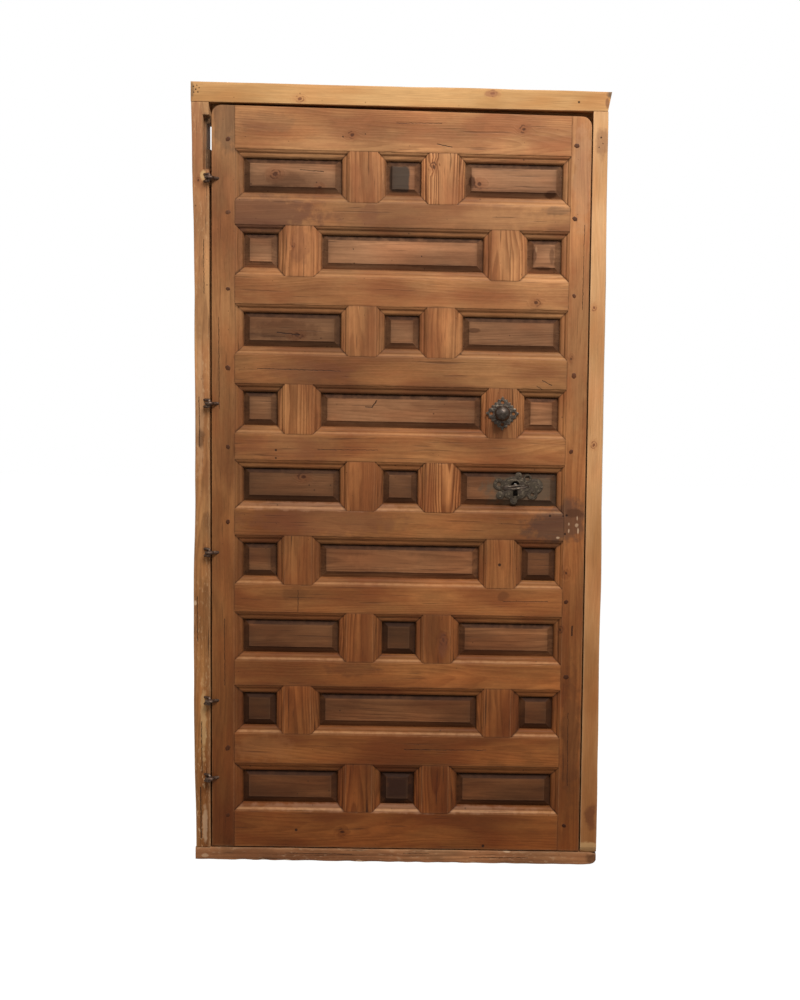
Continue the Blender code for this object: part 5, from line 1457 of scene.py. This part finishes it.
def doorKnob():
    # A turned knob whose ball is dented a little, inwards only
    start = -math.degrees(math.acos(knob["neck"] / knob["ball"]))
    ball = arc((0, knob["standoff"]), knob["ball"], start, knob["ballEnd"], 36)
    flange = [(radius, knob["foot"] + height) for radius, height in knob["flange"]]
    shank = [(knob["shank"], knob["shankBack"]), (knob["shank"], knob["foot"])]
    profile = np.concatenate([shank, flange, ball])
    points, quads, fans = turned((knob["x"], leaf["front"], knob["z"]), profile, 56)
    away = points - np.array([knob["x"], leaf["front"] - knob["standoff"], knob["z"]])
    dents = ripple(away[:, 0] + away[:, 1], away[:, 2] - away[:, 1], 240, knob["dentSize"])
    dents = knob["dent"] * (1 + np.clip(dents, -1, 1)) * (points[:, 1] < leaf["front"] - knob["dentFrom"])
    return points - away / np.linalg.norm(away, axis=1, keepdims=True) * dents[:, None], quads, fans


addIron("knob_rosette", knobRosette(), "leaf", forgedIron)
addIron("knob", doorKnob(), "leaf", knobIron)

# Lock plate: an oval with the keyhole, round lobes that are rings or bosses, raised rims, scrolls and nails
escutcheon = {
    "face": -0.0283, "thickness": 0.003, "bevel": 0.0007, "halfWide": 0.040, "halfHigh": 0.031,
    "drop": 0.006, "rim": 0.0010, "rimShare": 0.90, "rimDrop": 0.0006, "holeShare": 1.16, "bead": 0.0012,
    # Lobes as place, radius and piercing, and edges of theirs as steps in from the radius and heights
    "lobes": (
        (-0.044, 0.004, 0.015, 0.006), (-0.040, -0.026, 0.011, 0), (0.032, 0.020, 0.012, 0.006),
        (0.054, 0.0, 0.020, 0), (0.046, -0.022, 0.014, 0.005), (-0.004, -0.040, 0.010, 0),
        (0.008, 0.026, 0.010, 0),
    ),
    "lobeEdge": ((0.0007, -0.0028), (0.0, -0.0021), (0.0, -0.0006), (0.0006, 0.0002)),
    "lobeInside": ((0.0007, 0.0002), (0.0, -0.0006), (0.0, -0.0028)),
    "lobeCrown": ((0.75, 0.0006), (0.45, 0.0010), (0.15, 0.0011)),
    "nails": ((0.0600, 0.0), (0.0700, -0.003), (0.012, 0.027), (-0.041, -0.030), (-0.005, -0.043)),
    "nail": 0.0030, "nailHeight": 0.0018, "nailLift": 0.0003,
    # Scrolls as middle, radius, and the angles they run between; they curl in and taper
    "curl": np.linspace(1.0, 0.55, 30), "taper": np.linspace(1.25, 0.8, 30),
    "scrolls": (
        ((-0.026, -0.006), 0.011, 60, 290), ((0.030, -0.004), 0.010, -110, 130),
        ((0.052, 0.004), 0.012, 20, 200), ((-0.020, 0.012), 0.008, -30, 170),
        ((0.020, -0.024), 0.009, 150, 360),
    ),
}


def keyholeLoop():
    # Round head with a straight slot below it
    half, radius = lock["slotWidth"] / 2, lock["holeRadius"]
    lean = math.degrees(math.asin(half / radius))
    head = arc((0, 0), radius, 270 + lean, 630 - lean, 41)
    return np.concatenate([[(half, -lock["slotLength"])], head, [(-half, -lock["slotLength"])]])


def lockPlate():
    size = escutcheon
    front = size["face"] - size["thickness"]
    x, z = lock["x"], lock["z"]
    oval = arc((0, 0), 1, 0, 355, 72) * (size["halfWide"], size["halfHigh"]) - (0, size["drop"])
    middle = (x, size["face"] - size["thickness"] / 2, z)
    shapes = [plate([oval, keyholeLoop()], size["thickness"], size["bevel"], middle)]

    def wireOn(curve, radii, looped):
        path = np.column_stack([x + curve[:, 0], np.full(len(curve), front), z + curve[:, 1]])
        return bar(path, radii, (0, 1, 0), looped, 10)

    shapes.append(wireOn(size["rimShare"] * oval - (0, size["rimDrop"]), size["rim"], True))
    shapes.append(wireOn(size["holeShare"] * keyholeLoop(), size["rim"], True))
    for across, up, radius, piercing in size["lobes"]:
        place = (x + across, front, z + up)
        edge = [(radius - inwards, height) for inwards, height in size["lobeEdge"]]
        if piercing:
            inside = [(piercing + outwards, height) for outwards, height in size["lobeInside"]]
            shapes.append(turned(place, edge + inside, 40, True))
            shapes.append(ringBead(*place, (radius + piercing) / 2, size["bead"]))
        else:
            crown = [(radius * share, height) for share, height in size["lobeCrown"]]
            shapes.append(turned(place, edge + crown, 40))
    for place, radius, start, end in size["scrolls"]:
        curl = arc(place, radius * size["curl"], start, end, len(size["curl"]))
        shapes.append(wireOn(curl, size["rim"] * size["taper"], False))
    for across, up in size["nails"]:
        shapes.append(dome(x + across, front - size["nailLift"], z + up, size["nail"], size["nailHeight"]))
    return joined(shapes)


addIron("escutcheon", lockPlate(), "leaf", plateIron)

# Key: bow, collared shank and bit about its own axis, turned a little with its right end up
key = {
    "bowWide": 0.033, "bowDeep": 0.017, "bowMiddle": -0.073, "droop": 10, "wire": 0.0035, "shank": 0.0045,
    "front": -0.0578, "tip": 0.0300, "turn": 6, "bit": ((-0.017, 0.0), (0.0118, 0.0208), 0.0025),
    "bitBevel": 0.0006, "bitEnd": 0.90, "wireShare": 0.92, "wireChange": 0.08, "endShare": 0.8,
    "endBevel": 0.001, "collarFoot": 0.036,
    # Two collars, as radius and height in front of the lock
    "collars": (
        (0.0062, 0.0370), (0.0066, 0.0382), (0.0062, 0.0394), (0.0047, 0.0402), (0.0047, 0.0440),
        (0.0060, 0.0450), (0.0063, 0.0460), (0.0060, 0.0470), (0.0046, 0.0480),
    ),
}


def lockKey():
    angle = circle(64)
    tilt = math.radians(key["droop"])
    back = key["bowDeep"] * np.cos(angle)
    drop = (key["bowDeep"] - back) * math.tan(tilt)
    bow = np.stack([key["bowWide"] * np.sin(angle), key["bowMiddle"] + back, -drop], 1)
    radii = key["wire"] * (key["wireShare"] + key["wireChange"] * np.cos(angle))
    shank, tip, front = key["shank"], -key["tip"], -key["front"]
    end, bevel = shank * key["endShare"], key["endBevel"]
    profile = [(end, tip), (shank, tip + bevel), (shank, key["collarFoot"]), *key["collars"],
               (shank, front - bevel), (end, front)]
    (left, right), (near, far), half = key["bit"]
    corners = np.array([(near, -half), (far, -half), (far, half), (near, half)])
    steps = np.array([left, left + key["bitBevel"], right])[:, None]
    size = np.array([key["bitEnd"], 1.0, 1.0])[:, None, None]
    outline = (corners - corners.mean(0)) * size + corners.mean(0)
    bit = skin(np.concatenate([np.broadcast_to(steps, (3, 4))[..., None], outline], -1))
    bow = bar(bow, radii, (0, -math.sin(tilt), math.cos(tilt)), True)
    points, quads, fans = joined([bow, turned((0, 0, 0), profile, 24), bit])
    turn = math.radians(key["turn"])
    x, z = points[:, 0].copy(), points[:, 2].copy()
    points[:, 0] = lock["x"] + x * math.cos(turn) - z * math.sin(turn)
    points[:, 2] = lock["z"] + x * math.sin(turn) + z * math.cos(turn)
    return points, quads, fans


addIron("lock_key", lockKey(), "key", forgedIron)
for name in ("lock_case", "lock_bolt", "knob_nut"):
    nodes[name].data.materials.clear()
    nodes[name].data.materials.append(caseIron)
print("iron made")

# Pegs through the tenons, their ends a little proud and not quite round
pegs = {
    "radius": 0.0066, "proud": 0.0005, "depth": 0.004, "sides": 18, "dirtDepth": 0.0003, "left": -0.457,
    "leftHeights": (1.919, 1.732, 1.534, 1.328, 1.120, 0.921, 0.309, 0.124),
    "right": (
        (0.453, 1.923), (0.452, 1.735), (0.454, 1.535), (0.458, 1.326), (0.455, 1.125), (0.450, 0.722),
        (0.454, 0.518), (0.457, 0.108),
    ),
    # Sizes as middle, change and pace from peg to peg, ends as shares of radius and height, and bumps
    # round a peg as height, count and turn from peg to peg
    "sizes": (0.92, 0.12, 2.4), "end": ((1.0, 0.0), (0.9, 0.8), (0.4, 1.0)),
    "bumps": ((0.12, 2, 1), (0.07, 5, 2)),
}


def tenonPegs():
    places = [(pegs["left"], height) for height in pegs["leftHeights"]] + list(pegs["right"])
    middle, change, pace = pegs["sizes"]
    shapes = []
    for number, (x, z) in enumerate(places):
        radius = pegs["radius"] * (middle + change * math.sin(number * pace))
        end = [(radius * share, pegs["proud"] * height) for share, height in pegs["end"]]
        profile = [(radius, -pegs["depth"]), *end]
        points, quads, fans = turned((x, leaf["front"], z), profile, pegs["sides"])
        angle = np.arctan2(points[:, 2] - z, points[:, 0] - x)
        uneven = 1
        for height, count, turn in pegs["bumps"]:
            uneven = uneven + height * np.sin(count * angle + turn * number)
        points[:, [0, 2]] = (x, z) + (points[:, [0, 2]] - (x, z)) * uneven[:, None]
        shapes.append((points, quads, fans))
    return joined(shapes)


pegShape = tenonPegs()
rimDirt = (pegShape[0][:, 1] > leaf["front"] - pegs["dirtDepth"]) * 1.0
pegMarks = {"crease": rimDirt, "wear": 0.0, "tone": 0.0, "seed": 3.0, "heart": 0.0}
addPiece("tenonPegs", *pegShape, pegPine, "leaf", "leaf_pine", marks=pegMarks)
print("pegs made")

# Floor, light and camera
studio = {
    "floorSize": 30.0, "floorShade": 0.45, "floorGlow": 1.3, "glowShare": 0.75, "skyStrength": 0.26,
    "keyPower": 305.0, "keyPlace": (1.3, -3.2, 4.9), "keySize": 2.0, "backPlace": (-2.4, 3.6, 3.2),
    "backPower": 170.0, "target": (0, 0, 1.1),
}
white = (1.0, 1.0, 1.0, 1.0)
floorMesh = bpy.data.meshes.new("floor")
reach, shade = studio["floorSize"], studio["floorShade"]
corners = [(-reach, -reach, 0), (reach, -reach, 0), (reach, reach, 0), (-reach, reach, 0)]
floorMesh.from_pydata(corners, [], [(0, 1, 2, 3)])
floor = linked("floor", floorMesh)
floorPaint = bpy.data.materials.new("floorPaint")
floorPaint.use_nodes = True
tree = floorPaint.node_tree
matt = put(tree, "BsdfDiffuse", ((shade, shade, shade, 1.0),))
glow = put(tree, "Emission", (white, studio["floorGlow"]))
share = put(tree, "LightPath", output="Is Camera Ray") * studio["glowShare"]
link(put(tree, "MixShader", (share, matt, glow)), tree.nodes["Material Output"].inputs[0])
floorMesh.materials.append(floorPaint)

world = bpy.data.worlds.new("studioSky")
bpy.context.scene.world = world
world.use_nodes = True
rays = outputsOf(put(world.node_tree, "LightPath"))
seen = gathered("MAXIMUM", [rays[f"Is {kind} Ray"] for kind in ("Camera", "Glossy", "Transmission")])
sky = world.node_tree.nodes["Background"].inputs
sky["Color"].default_value = white
link(seen * (1.0 - studio["skyStrength"]) + studio["skyStrength"], sky["Strength"])


def addLamp(name, place, power):
    lamp = bpy.data.lights.new(name, "AREA")
    lamp.energy = power
    lamp.size = studio["keySize"]
    thing = linked(name, lamp)
    thing.location = place
    aim = Vector(studio["target"]) - Vector(place)
    thing.rotation_euler = aim.to_track_quat("-Z", "Y").to_euler()


addLamp("keyLamp", studio["keyPlace"], studio["keyPower"])
addLamp("backLamp", studio["backPlace"], studio["backPower"])

# Camera as the photograph's, found by fitting the rails' and mullions' edges
view = {
    "eye": (0.2917, -4.7224, 1.1982), "yaw": 1.378, "pitch": 6.20, "roll": -1.154, "focal": 1749.7,
    "axisPixel": (548.9, 613.9), "picture": (800, 1000), "sensor": 36.0,
}
yaw, pitch, roll = (math.radians(view[turn]) for turn in ("yaw", "pitch", "roll"))
ahead = np.array([math.sin(yaw) * math.cos(pitch), math.cos(yaw) * math.cos(pitch), -math.sin(pitch)])
level = np.array([math.cos(yaw), -math.sin(yaw), 0])
below = np.cross(ahead, level)
across = math.cos(roll) * level + math.sin(roll) * below
down = -math.sin(roll) * level + math.cos(roll) * below
cameraData = bpy.data.cameras.new("camera")
camera = linked("camera", cameraData)
turning = np.eye(4)
turning[:3, 0], turning[:3, 1], turning[:3, 2], turning[:3, 3] = across, -down, -ahead, view["eye"]
camera.matrix_world = Matrix(turning.tolist())
tallest = max(view["picture"])
cameraData.sensor_width = view["sensor"]
cameraData.lens = view["focal"] / tallest * view["sensor"]
cameraData.shift_x = (view["picture"][0] / 2 - view["axisPixel"][0]) / tallest
cameraData.shift_y = (view["axisPixel"][1] - view["picture"][1] / 2) / tallest
bpy.context.scene.camera = camera
bpy.context.scene.view_settings.view_transform = "Standard"
print("stage and camera made")
